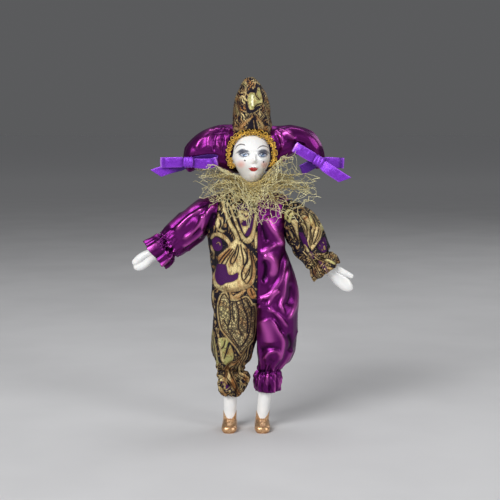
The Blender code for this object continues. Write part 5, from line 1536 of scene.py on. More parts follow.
def make_trim(material):
    """Looped gimp: three gold cords plaited into a narrow band, with open loops along its edges."""
    rng = np.random.default_rng(17)
    parts = []
    angle = np.radians(np.linspace(-38, 218, 2600))
    line = braid_line(angle)
    way = np.gradient(line, axis=0)
    length = np.concatenate([[0], np.cumsum(np.linalg.norm(np.diff(line, axis=0), axis=1))])
    way /= np.linalg.norm(way, axis=1, keepdims=True)
    middle = np.array([HEAD[0] + 0.2, -6.0, 279.6])
    out = line - middle
    out -= (out * way).sum(1, keepdims=True) * way
    out /= np.linalg.norm(out, axis=1, keepdims=True)
    face = np.cross(way, out)
    face *= -np.sign(face[:, 1:2])
    # Three cords plaited loosely into a narrow band.
    wander = np.interp(length, np.arange(0, 200, 3), rng.normal(size=67))
    top = step(0.35, 0.85, np.sin(angle))
    for k in range(3):
        turn = TAU * length / (4.4 + 0.5 * k) + k * TAU / 3 + 0.55 * wander
        loose = (0.8 + 0.35 * top) * (1 + 0.25 * np.interp(length, np.arange(0, 200, 2.3), rng.normal(size=87)))
        path = line + out * (loose * 1.15 * np.sin(turn) - 0.9)[:, None] + face * (0.5 + 0.8 * np.cos(2 * turn))[:, None]
        path = path + way * (0.9 * np.sin(2 * turn + k))[:, None]
        parts.append(tube_along(path[::8], 0.42, 5))
    # Open loops along the outer edge, each set by hand and so never quite alike,
    # and smaller ones that only just pass the inner edge.
    a = np.arange(22) / 22 * TAU
    for reach, size, pace, thick in ((1.6, 1.75, 3.4, 0.38), (-2.0, 1.1, 2.9, 0.34), (0.3, 1.5, 4.1, 0.38)):
        at = 1.5
        while at < length[-1] - 1.5:
            at += pace * rng.uniform(0.65, 1.4)
            k = min(int(np.searchsorted(length, at)), len(line) - 1)
            lean, tilt = rng.normal() * 0.6, rng.normal() * 0.7
            grown = 0.72 + 0.48 * top[k]
            wide, tall = size * grown * rng.uniform(0.75, 1.2), size * grown * rng.uniform(0.85, 1.45)
            first = way[k] * math.cos(lean) + out[k] * math.sin(lean)
            second = out[k] * math.cos(lean) - way[k] * math.sin(lean)
            second = second * math.cos(tilt) + face[k] * math.sin(tilt)
            ring = line[k] + out[k] * reach * rng.uniform(0.7, 1.35) * (grown if reach > 0 else 1) + face[k] * rng.uniform(0.5, 1.5)
            ring = ring + first * (wide * np.cos(a))[:, None] + second * (tall * np.sin(a))[:, None]
            ring = ring + face[k] * (0.45 * np.sin(a + rng.uniform(0, TAU)))[:, None] + out[k] * (0.25 * np.sin(3 * a))[:, None]
            parts.append(tube_along(ring, thick, 5, True))
    verts, quads = gather_parts(parts)
    mesh = build_mesh("hat_trim_braid", verts, [quads])
    obj = put("hat_trim_braid", mesh, material)
    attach(obj, "root")
    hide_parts("hat_trim")


# ---------------------------------------------------------------- bows

def ribbon_strip(line, across, width, thick=0.34, cols=13, curl=0.0):
    """A closed thin strip of ribbon along a line; across is its width direction at
    each point. Gives vertices, quads and cloth coordinates."""
    line = np.asarray(line, float)
    n = len(line)
    way = np.gradient(line, axis=0)
    way /= np.linalg.norm(way, axis=1, keepdims=True) + 1e-9
    across = np.broadcast_to(np.asarray(across, float), line.shape).copy()
    across -= (across * way).sum(1, keepdims=True) * way
    across /= np.linalg.norm(across, axis=1, keepdims=True)
    normal = np.cross(way, across)
    width = np.broadcast_to(np.asarray(width, float), (n,))
    w = np.linspace(-0.5, 0.5, cols)
    length = np.concatenate([[0], np.cumsum(np.linalg.norm(np.diff(line, axis=0), axis=1))])
    middle = line[:, None] + across[:, None] * (w[None, :] * width[:, None])[..., None]
    middle = middle + normal[:, None] * (curl * (1 - (2 * w) ** 2))[None, :, None]
    grain = 0.10 * waves(np.stack([length[:, None] + 0 * w, 10 * w[None, :] + 0 * length[:, None]], -1), 7.0, n)
    middle = middle + normal[:, None] * grain[..., None]
    top, low = middle + normal[:, None] * thick / 2, middle - normal[:, None] * thick / 2
    ring = np.concatenate([top, low[:, ::-1]], 1)
    count = ring.shape[1]
    quads = grid_faces(n, count, True)
    ends = []
    for row in (0, n - 1):
        o = row * count
        for k in range(cols - 1):
            q = [o + k, o + k + 1, o + count - 2 - k, o + count - 1 - k]
            ends.append(q[::-1] if row == 0 else q)
    x = np.concatenate([w, w[::-1]])[None, :] * width[:, None]
    y = length[:, None] + 0 * x
    cloth = np.stack([x, y, 0 * x], -1).reshape(-1, 3)
    return ring.reshape(-1, 3), np.vstack([quads, ends]), cloth


def ribbon_loop(start, turn, length, fat, gape=0.0, tilt=0.0):
    """A bow's loop: out along a direction in the front view and back to the knot.
    With gape its front half hangs lower than its back half."""
    t = np.linspace(0, 1, 64)
    a = TAU * t
    reach = length * 0.5 * (1 - np.cos(a))
    reach = reach ** 0.92 * length ** 0.08
    depth = -fat * np.sin(a) * (0.35 + 0.65 * reach / length)
    c, s = math.cos(turn), math.sin(turn)
    x = start[0] + reach * c
    z = start[2] + reach * s - gape * np.sin(a) * (0.4 + 0.6 * reach / length)
    y = start[1] + depth + tilt * reach / length
    return np.stack([x, y, z], -1), np.array([-s, 0.0, c])


def make_bow(name, knot, turn, loops, tails, material):
    parts, clothes = [], []
    knot = np.array(knot, float)

    def take(piece, shade):
        parts.append((piece[0], piece[1]))
        cloth = piece[2].copy()
        cloth[:, 2] = np.repeat(shade, len(cloth) // len(shade))
        clothes.append(cloth)

    # Each loop carries an even painted shade of its own, darker for a loop that lies behind.
    for direction, length, fat, lift, tilt, width, gape, painted_loop_shade in loops:
        direction = math.radians(direction)
        start = knot + np.array([2.6 * math.cos(direction), 0.0, 2.6 * math.sin(direction) + lift])
        line, across = ribbon_loop(start, direction, length, fat, gape, tilt)
        t = np.linspace(0, 1, len(line))
        pinch = 0.64 + 0.36 * step(0.0, 0.14, t) * step(1.0, 0.86, t)
        # Light on the outer fold, shade just inside it and beside the knot.
        shade = painted_loop_shade - 0.9 * gauss(t, 0.46, 0.04) + 0.42 * gauss(t, 0.37, 0.04) + 0.40 * gauss(t, 0.09, 0.06)
        shade = shade + 0.75 * step(0.51, 0.56, t)
        take(ribbon_strip(line, across, width * pinch, curl=0.35), shade)
    for points, width, start_pinch, cut, near_shade, far_shade in tails:
        line = smooth_line(points, 48)
        way = line[-1] - line[0]
        across = np.array([-way[2], 0.0, way[0]]) / np.hypot(way[0], way[2])
        t = np.linspace(0, 1, len(line))
        verts, quads, cloth = ribbon_strip(line, across, width * (start_pinch + (1 - start_pinch) * step(0, 0.18, t)), curl=0.3)
        # A slanted cut across the ribbon's end.
        last = line[-1]
        along = way / np.linalg.norm(way)
        side = ((verts - last) @ across) / width
        near = step(0.55, 1.0, np.clip(1 + ((verts - last) @ along) / np.linalg.norm(way), 0, 1))
        verts = verts + along * (cut * side * near)[:, None]
        take((verts, quads, cloth), near_shade + (far_shade - near_shade) * step(0.15, 0.85, t))
    # The knot: a short band wrapped round the middle, with soft creases.
    c, s = math.cos(math.radians(turn)), math.sin(math.radians(turn))
    along, up = np.array([c, 0.0, s]), np.array([-s, 0.0, c])
    a = np.linspace(0, TAU, 41)[:-1]
    rings = []
    for t in np.linspace(-1, 1, 25):
        wide = 5.2 - 0.9 * math.sqrt(max(0.0, 1 - abs(t) ** 2.4)) * -1 - 1.0
        crease = 0.22 * np.cos(3 * math.pi * t + 0.8 * np.sin(a)) + 0.12 * np.cos(6 * t + 2 * a)
        r = (1.0 + 0 * a) * 1.0
        grow = 1 - 0.16 * abs(t) ** 6
        ring = (
            knot + along * (4.9 * t)
            + up[None] * ((5.3 * grow + crease) * spow(np.sin(a), 0.72))[:, None]
            + np.array([0, -1, 0])[None] * ((3.7 * grow + crease) * spow(np.cos(a), 0.8))[:, None]
        )
        rings.append(ring)
    rings = np.array(rings)
    quads = grid_faces(len(rings), 40, True)
    parts.append((rings.reshape(-1, 3), quads))
    x = np.linspace(-4.9, 4.9, 25)[:, None] + np.zeros((1, 40))
    # The knot's third cloth value paints shade towards its ends and a little light in its middle.
    clothes.append(np.stack([x, a[None] * 4.6 + 0 * x, 0.35 * (np.abs(x) / 4.9) ** 4 - 0.12], -1).reshape(-1, 3))
    verts, quads = gather_parts(parts)
    mesh = build_mesh(name + "_ribbon", verts, [quads])
    attribute(mesh, "cloth", np.vstack(clothes), "FLOAT_VECTOR")
    obj = put(name + "_ribbon", mesh, material)
    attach(obj, "root")
    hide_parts(name)
    return obj


# ---------------------------------------------------------------- ruff

def hump(angle, middle, spread):
    off = (np.degrees(angle) - middle + 180) % 360 - 180
    return np.exp(-((off / spread) ** 2))


RUFF_UPPER = np.array([
    # angle in degrees, radius and height of the free edge
    (0, 60, 250), (15, 56, 252), (45, 46, 254), (90, 38, 256), (130, 41, 258), (155, 45, 260), (172, 50, 262),
    (190, 54.5, 264.5), (203, 50, 260), (214, 47, 271.5), (224, 43, 269), (235, 37, 262), (246, 34.5, 252),
    (257, 33, 241), (270, 32, 233), (285, 33, 233), (295, 35, 241), (305, 38.5, 256), (315, 41.5, 266),
    (322, 46, 284), (330, 48.5, 279), (340, 51, 264), (350, 57.5, 254),
], float)
RUFF_LOWER = np.array([
    (0, 61.5, 247), (15, 56, 246), (45, 45, 245), (90, 37, 241), (130, 39, 241), (155, 43.5, 242), (180, 47, 243.5),
    (203, 47, 239.5), (225, 42.5, 229.5), (240, 39, 222.5), (255, 37, 219), (270, 35.5, 217.5), (290, 37, 218.5),
    (305, 41, 220.5), (318, 48.5, 221), (326, 53, 222.5), (334, 56, 228), (342, 60.5, 232.5), (352, 60, 240),
], float)


def ruff_point(angle, s, upper, seed, depth=1.0):
    """A point of the gathered collar; s runs from its stitching to its free edge, and
    upper from 0 for the lower frill to 1 for the upper one. The net stands in deep
    folds across its own surface."""
    at = np.degrees(angle) % 360

    def edge(rows, i):
        return np.mean([np.interp(at + k, rows[:, 0], rows[:, i], period=360) for k in (-4, 0, 4)], 0)

    r, z = (upper * edge(RUFF_UPPER, i) + (1 - upper) * edge(RUFF_LOWER, i) for i in (1, 2))
    start = SUIT_TOP + 2.0 + 3.6 * upper
    out = np.clip(s, 0, 1.3)
    radius = 9.8 + (r - 9.8) * s
    height = start + (z - start) * out**1.2 + (2.0 + 0.6 * upper) * np.sin(math.pi * np.clip(s, 0, 1))
    run, climb = r - 9.8, (z - start) * 1.2 * (out + 1e-6) ** 0.2
    size = np.hypot(run, climb)
    folds = 9 + round(upper)
    phase = folds * angle + 0.9 * np.sin(3 * angle + seed) + seed
    calm = 1 - 0.42 * hump(angle, 270, 52)
    sweep = depth * out**0.9 * calm
    push = sweep * (4.4 * np.sin(phase) + 1.5 * np.sin((2 * folds + 3) * angle + 2.0 * seed + 2.2 * s))
    turn = angle + sweep * 0.055 * np.cos(phase)
    radius = radius - push * climb / size
    height = height + push * run / size
    return np.stack([NECK_X + radius * np.cos(turn), NECK_Y + radius * np.sin(turn), height], -1)


def net_layer(upper, length, width, cell, seed, share=(0.0, 1.0), depth=1.0, fibres=0):
    """Strands of an uneven net gathered round the neck. length and width are the
    flat size of the strip in mm. Gives lines of four points and how far out they are."""
    rng = np.random.default_rng(seed)
    cols = int(length / (cell * 0.866))
    cols += cols % 2
    rows = int(width / (cell * 0.75)) + 1
    i, j = np.meshgrid(np.arange(cols), np.arange(rows), indexing="ij")
    x = i + rng.uniform(-0.42, 0.42, i.shape)
    y = j + rng.uniform(-0.38, 0.38, i.shape) + 0.25 * np.where((i + j) % 2 == 0, 1, -1)
    a = TAU * x / cols
    s = share[0] + (share[1] - share[0]) * np.clip(y / (rows - 1), -0.01, 1.2)
    # An edge cut by eye: it steps in and out.
    edge = 0.05 * np.sin(7 * a + seed) + 0.05 * np.sin(17 * a + 2 * seed) + 0.06 * rng.normal(size=a.shape) * (j == rows - 1)
    s = s * (1 + edge * np.clip(s, 0, 1) ** 2)
    point = ruff_point(a, s, upper, seed, depth)
    point += rng.normal(size=point.shape) * 0.38 * (0.4 + np.clip(s, 0, 1))[..., None]

    index = np.arange(cols * rows).reshape(cols, rows)
    right = np.stack([index, np.roll(index, -1, 0)], -1)
    down = np.stack([index[:, :-1], index[:, 1:]], -1)[((i + j) % 2 == 0)[:, :-1]]
    pairs = np.concatenate([right.reshape(-1, 2), down.reshape(-1, 2)])
    pairs = pairs[rng.random(len(pairs)) > 0.10]
    flat, level = point.reshape(-1, 3), s.ravel()
    # Loose ends past the free edge.
    last, before = index[:, -1], index[:, -2]
    loose = rng.random(cols) < 0.5
    ends = flat[last[loose]] + (flat[last[loose]] - flat[before[loose]]) * 0.6 + rng.normal(size=(loose.sum(), 3)) * 0.8
    first = np.concatenate([flat[pairs[:, 0]], flat[last[loose]]])
    final = np.concatenate([flat[pairs[:, 1]], ends])
    tone = np.concatenate([level[pairs[:, 0]], level[last[loose]]])
    # Straight fibres that lie across the net at all angles.
    if fibres:
        a0, s0 = rng.uniform(0, TAU, fibres), share[1] * rng.uniform(0.15, 0.92, fibres)
        way, reach = rng.uniform(0, math.pi, fibres), rng.uniform(5, 13, fibres)
        t = np.linspace(-0.5, 0.5, 4)[None, :]
        line_a = a0[:, None] + t * (reach * np.cos(way) / (12 + 34 * s0))[:, None]
        line_s = np.clip(s0[:, None] + t * (reach * np.sin(way) / 38.0)[:, None], 0.02, 1.04)
        line = ruff_point(line_a, line_s, upper, seed, depth) + rng.normal(size=(fibres, 4, 3)) * 0.3
        first = np.concatenate([first, line[:, :-1].reshape(-1, 3)])
        final = np.concatenate([final, line[:, 1:].reshape(-1, 3)])
        tone = np.concatenate([tone, line_s[:, :-1].ravel()])
    return first, final, tone


def make_ruff(material):
    layers = [
        net_layer(1.0, 400.0, 40.0, 3.9, 21, fibres=210),
        net_layer(0.0, 400.0, 38.0, 3.9, 22, fibres=210),
        net_layer(0.5, 300.0, 36.0, 5.0, 23, (0.0, 0.94), 1.0, 110),
        net_layer(1.0, 170.0, 18.0, 5.4, 24, (0.0, 0.46), 1.0),
    ]
    first = np.concatenate([l[0] for l in layers])
    last = np.concatenate([l[1] for l in layers])
    tone = np.concatenate([l[2] for l in layers])
    rng = np.random.default_rng(25)
    n = len(first)
    size = np.linalg.norm(last - first, axis=1)
    middle = (first + last) / 2 + rng.normal(size=(n, 3)) * (0.10 * size)[:, None]
    way = last - first
    way /= size[:, None] + 1e-9
    side = np.cross(way, rng.normal(size=(n, 3)))
    side /= np.linalg.norm(side, axis=1, keepdims=True) + 1e-9
    up = np.cross(side, way)
    thick = rng.uniform(0.20, 0.36, n)
    a = np.arange(3) / 3 * TAU
    ring = np.cos(a)[None, :, None] * side[:, None] + np.sin(a)[None, :, None] * up[:, None]
    ring = ring * thick[:, None, None]
    reach = way[:, None] * 0.12
    verts = np.stack([first[:, None] - reach + ring, middle[:, None] + ring, last[:, None] + reach + ring], 1)
    index = np.arange(n * 9).reshape(n, 3, 3)
    quads = np.stack([index[:, :-1], np.roll(index[:, :-1], -1, 2), np.roll(index[:, 1:], -1, 2), index[:, 1:]], -1).reshape(-1, 4)
    mesh = build_mesh("ruff_net", verts.reshape(-1, 3), [quads])
    attribute(mesh, "tone", np.repeat(tone, 9) + np.repeat(rng.normal(size=n) * 0.24, 9))
    obj = put("ruff_net", mesh, material)
    # The tape that the net is gathered on.
    a = np.linspace(0, TAU, 97)[:-1]
    ring = np.stack([NECK_X + 9.6 * np.cos(a), NECK_Y + 9.6 * np.sin(a), SUIT_TOP + 2.9 + 0.5 * np.sin(9 * a)], -1)
    verts, quads = tube_along(ring, 1.05 + 0.18 * np.sin(31 * a), 10, True)
    tape = build_mesh("ruff_tape", verts, [quads])
    attribute(tape, "tone", np.zeros(len(verts)))
    tape = put("ruff_tape", tape, material)
    for piece in (obj, tape):
        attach(piece, "root")
    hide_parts("ruff")
    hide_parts("ruff")
    return obj


def net_material():
    n = Nodes("gold_net")
    where = position(n)
    tone = n.attr("tone")
    grain = n.noise(where, 1.1, 3.0, 0.6)
    near = n.mix(n.ramp(grain, 0.3, 0.7), (0.40, 0.26, 0.045), (0.80, 0.63, 0.20))
    far = n.mix(n.ramp(grain, 0.3, 0.7), (0.62, 0.56, 0.26), (0.86, 0.80, 0.48))
    n.set(
        Base_Color=n.mix(n.ramp(tone, 0.05, 0.95), near, far), Metallic=0.35,
        Roughness=n.ramp(grain, 0.3, 0.7, 0.30, 0.46), Sheen_Weight=0.3,
        Normal=n.bump(n.noise(where, 5.0, 2.0), 0.3, 0.0001),
    )
    return n.material


# ---------------------------------------------------------------- head

def head_points(direction):
    """The doll head's surface: a smooth egg with a small nose, lids, lips and chin."""
    d = direction / np.linalg.norm(direction, axis=-1, keepdims=True)
    below, above = np.maximum(0, -d[..., 2]), np.maximum(0, d[..., 2])
    # Jaw and brow: how wide the head is beside a plain egg, from crown to chin.
    jaw = table([[1.0], [0.992], [0.962], [0.92], [0.880], [0.845], [0.838], [0.885], [0.985]], below.ravel() / 0.96)[:, 0].reshape(below.shape)
    brow = ((1 - above**2.6) ** (1 / 2.6) + 1e-3) / (np.sqrt(1 - above**2) + 1e-3)
    taper = jaw * np.clip(brow, 1, 1.5)
    p = np.stack([
        d[..., 0] * 19.2 * taper,
        d[..., 1] * np.where(d[..., 1] < 0, 20.5, 19.5) * (1 + 0.4 * (taper - 1)),
        d[..., 2] * 23.9,
    ], -1)
    x, z = p[..., 0], p[..., 2]
    front = step(0.0, 0.45, -d[..., 1])
    push = np.zeros(x.shape)

    def mound(cx, cz, wx, wz, high, power=2.0):
        return high * np.exp(-(np.abs((x - cx) / wx) ** power) - np.abs((z - cz) / wz) ** power)

    # Nose: bridge, tip, wings.
    bridge = np.exp(-((x / 1.7) ** 2)) * step(7.5, 1.0, z) * step(-4.6, -2.0, z)
    push += bridge * np.interp(z, [-5, -3.2, -1.5, 2, 7], [2.4, 3.1, 2.6, 1.3, 0.3])
    push += mound(0, -3.4, 1.9, 1.8, 1.1) + mound(-1.7, -4.0, 0.9, 0.9, 0.7) + mound(1.7, -4.0, 0.9, 0.9, 0.7)
    push -= mound(0, -5.9, 3.2, 0.8, 0.5)
    for s in (-1, 1):
        push -= mound(s * 7.6, 3.4, 4.6, 3.0, 1.5)
        push += mound(s * 7.7, 3.0, 3.1, 2.1, 1.1, 2.6)
        push += mound(s * 7.7, 4.6, 3.4, 0.7, 0.35)
        push -= mound(s * 7.8, 1.0, 3.2, 0.45, 0.18)
        push += mound(s * 7.5, 8.2, 5.0, 1.6, 0.5)
        push += mound(s * 9.0, -5.5, 5.0, 5.0, 0.7)
    # Mouth and chin.
    push += mound(0, -9.6, 4.6, 2.6, 0.8)
    push += mound(-0.9, -8.9, 1.7, 0.75, 0.55) + mound(0.9, -8.9, 1.7, 0.75, 0.55)
    push += mound(0, -10.9, 2.4, 0.85, 0.75)
    push -= mound(0, -9.75, 4.4, 0.35, 0.5)
    push -= mound(0, -12.9, 3.6, 1.0, 0.55)
    push += mound(0, -17.2, 4.4, 3.2, 1.2)
    p[..., 1] -= push * front
    # Small flat ears.
    for s in (-1, 1):
        ear = np.exp(-(((p[..., 1] + 0.5) / 2.6) ** 2) - ((z + 2.6) / 4.4) ** 2) * (s * d[..., 0] > 0.5)
        hollow = np.exp(-(((p[..., 1] + 1.2) / 1.1) ** 2) - ((z + 2.4) / 2.2) ** 2) * (s * d[..., 0] > 0.5)
        p[..., 0] += s * (1.7 * ear - 0.8 * hollow)
    # The chin runs long, down to the collar.
    p[..., 2] -= 2.9 * np.clip((-z - 13.5) / 10.4, 0, 1) ** 1.5
    c, s = math.cos(HEAD_YAW), math.sin(HEAD_YAW)
    x, y = p[..., 0] * c - p[..., 1] * s, p[..., 0] * s + p[..., 1] * c
    return np.stack([x, y, p[..., 2]], -1) + HEAD


def paint(mesh, points, hidden):
    """Painted features, placed in the front view in its pixels of about 1 mm."""
    px, py = front_view(points)
    colour = np.zeros((len(points), 4))

    def lay(strength, rgb):
        strength = np.clip(strength, 0, 1)[:, None] * (~hidden)[:, None]
        rgb = np.array(rgb)
        alpha = colour[:, 3:4]
        total = strength + alpha * (1 - strength)
        colour[:, :3] = np.where(total > 1e-6, (rgb * strength + colour[:, :3] * alpha * (1 - strength)) / np.maximum(total, 1e-6), rgb)
        colour[:, 3:4] = total

    def spot(cx, cy, wx, wy, turn=0.0, power=2.0):
        c, s = math.cos(math.radians(turn)), math.sin(math.radians(turn))
        dx, dy = px - cx, py - cy
        a, b = dx * c + dy * s, -dx * s + dy * c
        return (np.abs(a / wx) ** power + np.abs(b / wy) ** power) ** (1 / power)

    def soft(r, start, end):
        return 1 - step(start, end, r)

    def line(points, sizes, feather=0.22):
        depth = stroke(px, py, points, sizes, 8 * len(points))
        return step(-feather, feather, depth)

    # Rouge.
    lay(0.62 * soft(spot(240.9, 164.4, 5.8, 5.2), 0.0, 1.15), (0.86, 0.30, 0.22))
    lay(0.62 * soft(spot(264.6, 164.9, 5.2, 5.0), 0.0, 1.15), (0.86, 0.30, 0.22))
    lay(0.20 * soft(spot(253.2, 175.5, 5.5, 3.2), 0.2, 1.2), (0.86, 0.48, 0.38))
    # Smoky shadow round the eyes, drawn out to a wing at the outer corner.
    for cx, cy, w, turn in ((243.9, 152.8, 6.5, 3), (262.7, 153.1, 6.2, -3)):
        lay(0.90 * soft(spot(cx, cy + 0.3, w, 5.0, turn), 0.62, 1.05), (0.150, 0.160, 0.205))
        lay(0.60 * soft(spot(cx - 0.2, cy - 0.9, w * 0.86, 3.0, turn), 0.3, 1.0), (0.050, 0.055, 0.085))
    lay(0.80 * line([(242.0, 150.4), (239.0, 151.6), (235.9, 153.4)], (1.5, 1.1, 0.15), 0.5), (0.080, 0.085, 0.120))
    lay(0.65 * line([(264.6, 150.8), (267.4, 151.8), (269.6, 153.6)], (1.3, 0.9, 0.15), 0.5), (0.080, 0.085, 0.120))
    for cx, cy, w, away in ((244.6, 154.6, 4.1, -1), (262.3, 154.9, 3.9, 1)):
        # White of the eye, iris, pupil and catch light.
        eye = soft(spot(cx, cy, w, 2.1, 0, 1.8), 0.84, 1.06)
        lay(eye, (0.50, 0.54, 0.63))
        lay(eye * soft(spot(cx, cy - 0.1, 2.2, 2.3), 0.84, 1.05), (0.075, 0.125, 0.245))
        lay(eye * soft(spot(cx + 0.5, cy + 0.7, 1.5, 1.2), 0.4, 1.0), (0.36, 0.50, 0.70))
        lay(eye * soft(spot(cx, cy - 0.2, 0.95, 1.0), 0.6, 1.1), (0.008, 0.010, 0.020))
        lay(soft(spot(cx - 0.7, cy - 0.9, 0.6, 0.55), 0.5, 1.2), (0.95, 0.96, 0.98))
        # Lid line and lashes.
        lay(0.95 * line([(cx + away * (w + 1.4), cy + 0.1), (cx + away * w * 0.75, cy - 1.2), (cx, cy - 2.0), (cx - away * w * 0.7, cy - 1.2), (cx - away * w * 1.08, cy + 0.5)], (0.30, 0.50, 0.55, 0.45, 0.22)), (0.025, 0.025, 0.035))
        lay(0.7 * line([(cx + away * w, cy + 0.7), (cx + away * w * 0.4, cy + 1.7), (cx - away * w * 0.5, cy + 1.6), (cx - away * w, cy + 0.6)], (0.22, 0.24, 0.22, 0.12)), (0.07, 0.07, 0.09))
        for k, (sx, sy, ex, ey) in enumerate(((0.55, -1.9, 0.95, -3.5), (0.85, -1.3, 1.35, -2.7), (1.08, -0.6, 1.65, -1.5), (0.2, -2.2, 0.35, -3.7))):
            lay(0.55 * line([(cx + away * w * sx, cy + sy), (cx + away * w * (sx + ex) / 2, cy + (sy + ey) / 2 - 0.2), (cx + away * w * ex, cy + ey)], (0.24, 0.2, 0.08)), (0.04, 0.04, 0.055))
        for k in range(3):
            lay(0.45 * line([(cx + away * w * (0.2 + 0.4 * k), cy + 1.8 - 0.3 * k), (cx + away * w * (0.3 + 0.48 * k), cy + 2.7 - 0.3 * k)], (0.16, 0.08)), (0.06, 0.06, 0.08))
    # Thin arched brows.
    lay(0.95 * line([(235.4, 148.8), (237.2, 146.0), (240.6, 144.3), (244.4, 144.9), (247.8, 147.4)], (0.15, 0.42, 0.58, 0.50, 0.2)), (0.045, 0.048, 0.062))
    lay(0.95 * line([(257.6, 148.8), (260.2, 146.6), (263.2, 145.9), (266.2, 146.5), (268.6, 148.3)], (0.18, 0.46, 0.60, 0.44, 0.18)), (0.045, 0.048, 0.062))
    # A tear dot under each eye.
    lay(soft(spot(244.9, 160.5, 0.92, 0.92), 0.6, 1.2), (0.012, 0.015, 0.028))
    lay(soft(spot(263.5, 161.9, 0.86, 0.95), 0.6, 1.2), (0.012, 0.015, 0.028))
    # Small red mouth, with a darker parting.
    upper = area(px, py, [(248.2, 168.0), (250.4, 168.0), (252.1, 167.1), (253.3, 167.8), (254.6, 167.2), (256.3, 168.1), (258.5, 168.2), (255.6, 169.6), (251.2, 169.5)])
    lower = area(px, py, [(249.4, 168.9), (253.3, 169.2), (257.4, 169.0), (255.6, 171.0), (253.4, 171.5), (251.0, 170.9)])
    lay(step(-0.25, 0.25, np.maximum(upper, lower)), (0.56, 0.020, 0.030))
    lay(0.8 * line([(248.6, 168.4), (251.4, 169.1), (253.3, 168.9), (255.2, 169.1), (258.0, 168.5)], (0.16, 0.26, 0.22, 0.26, 0.16)), (0.22, 0.010, 0.020))
    lay(0.55 * soft(spot(253.6, 170.2, 1.9, 0.6), 0.3, 1.1), (0.86, 0.12, 0.12))
    # Nostrils.
    for cx in (252.1, 255.5):
        lay(0.30 * soft(spot(cx, 163.5, 0.6, 0.42), 0.4, 1.2), (0.60, 0.30, 0.26))
    attribute(mesh, "paint", colour, "FLOAT_COLOR")


def make_head(material):
    around, up = 290, 176
    k = np.arange(around) / around
    # Directions are closest together over the face.
    a = TAU * k - 0.62 * np.sin(TAU * k)
    a = a + math.pi / 2 + math.pi
    v = np.linspace(0, 1, up + 2)[1:-1]
    tilt = math.pi * (v - 0.5) + 0.10 * np.sin(TAU * v)
    d = np.stack([
        np.cos(tilt)[:, None] * np.cos(a + math.pi)[None, :] * -1,
        np.cos(tilt)[:, None] * np.sin(a + math.pi)[None, :] * -1,
        np.sin(tilt)[:, None] + 0 * a[None, :],
    ], -1)
    grid = head_points(d)
    mesh = faces_out(tube_mesh("head_porcelain", grid))
    points = coords(mesh)
    hidden = points[:, 1] > HEAD[1] - 2
    paint(mesh, points, hidden)
    obj = put("head_porcelain", mesh, material)
    # Neck, flared a little at its top.
    rings = []
    b = np.arange(64) / 64 * TAU
    for z, r in ((247.35, 7.2), (247.6, 7.4), (250, 7.35), (254, 7.3), (258, 7.6), (262, 8.6), (264, 9.0)):
        rings.append(np.stack([NECK_X + r * np.cos(b), NECK_Y + r * np.sin(b), np.full_like(b, z)], -1))
    neck = faces_out(tube_mesh("neck_porcelain", refine(np.array(rings), 1)))
    attribute(neck, "paint", np.zeros((len(neck.vertices), 4)), "FLOAT_COLOR")
    neck = put("neck_porcelain", neck, material)
    for piece in (obj, neck):
        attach(piece, "root")
        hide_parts("head")


# --------------------------------------------------------------- hands

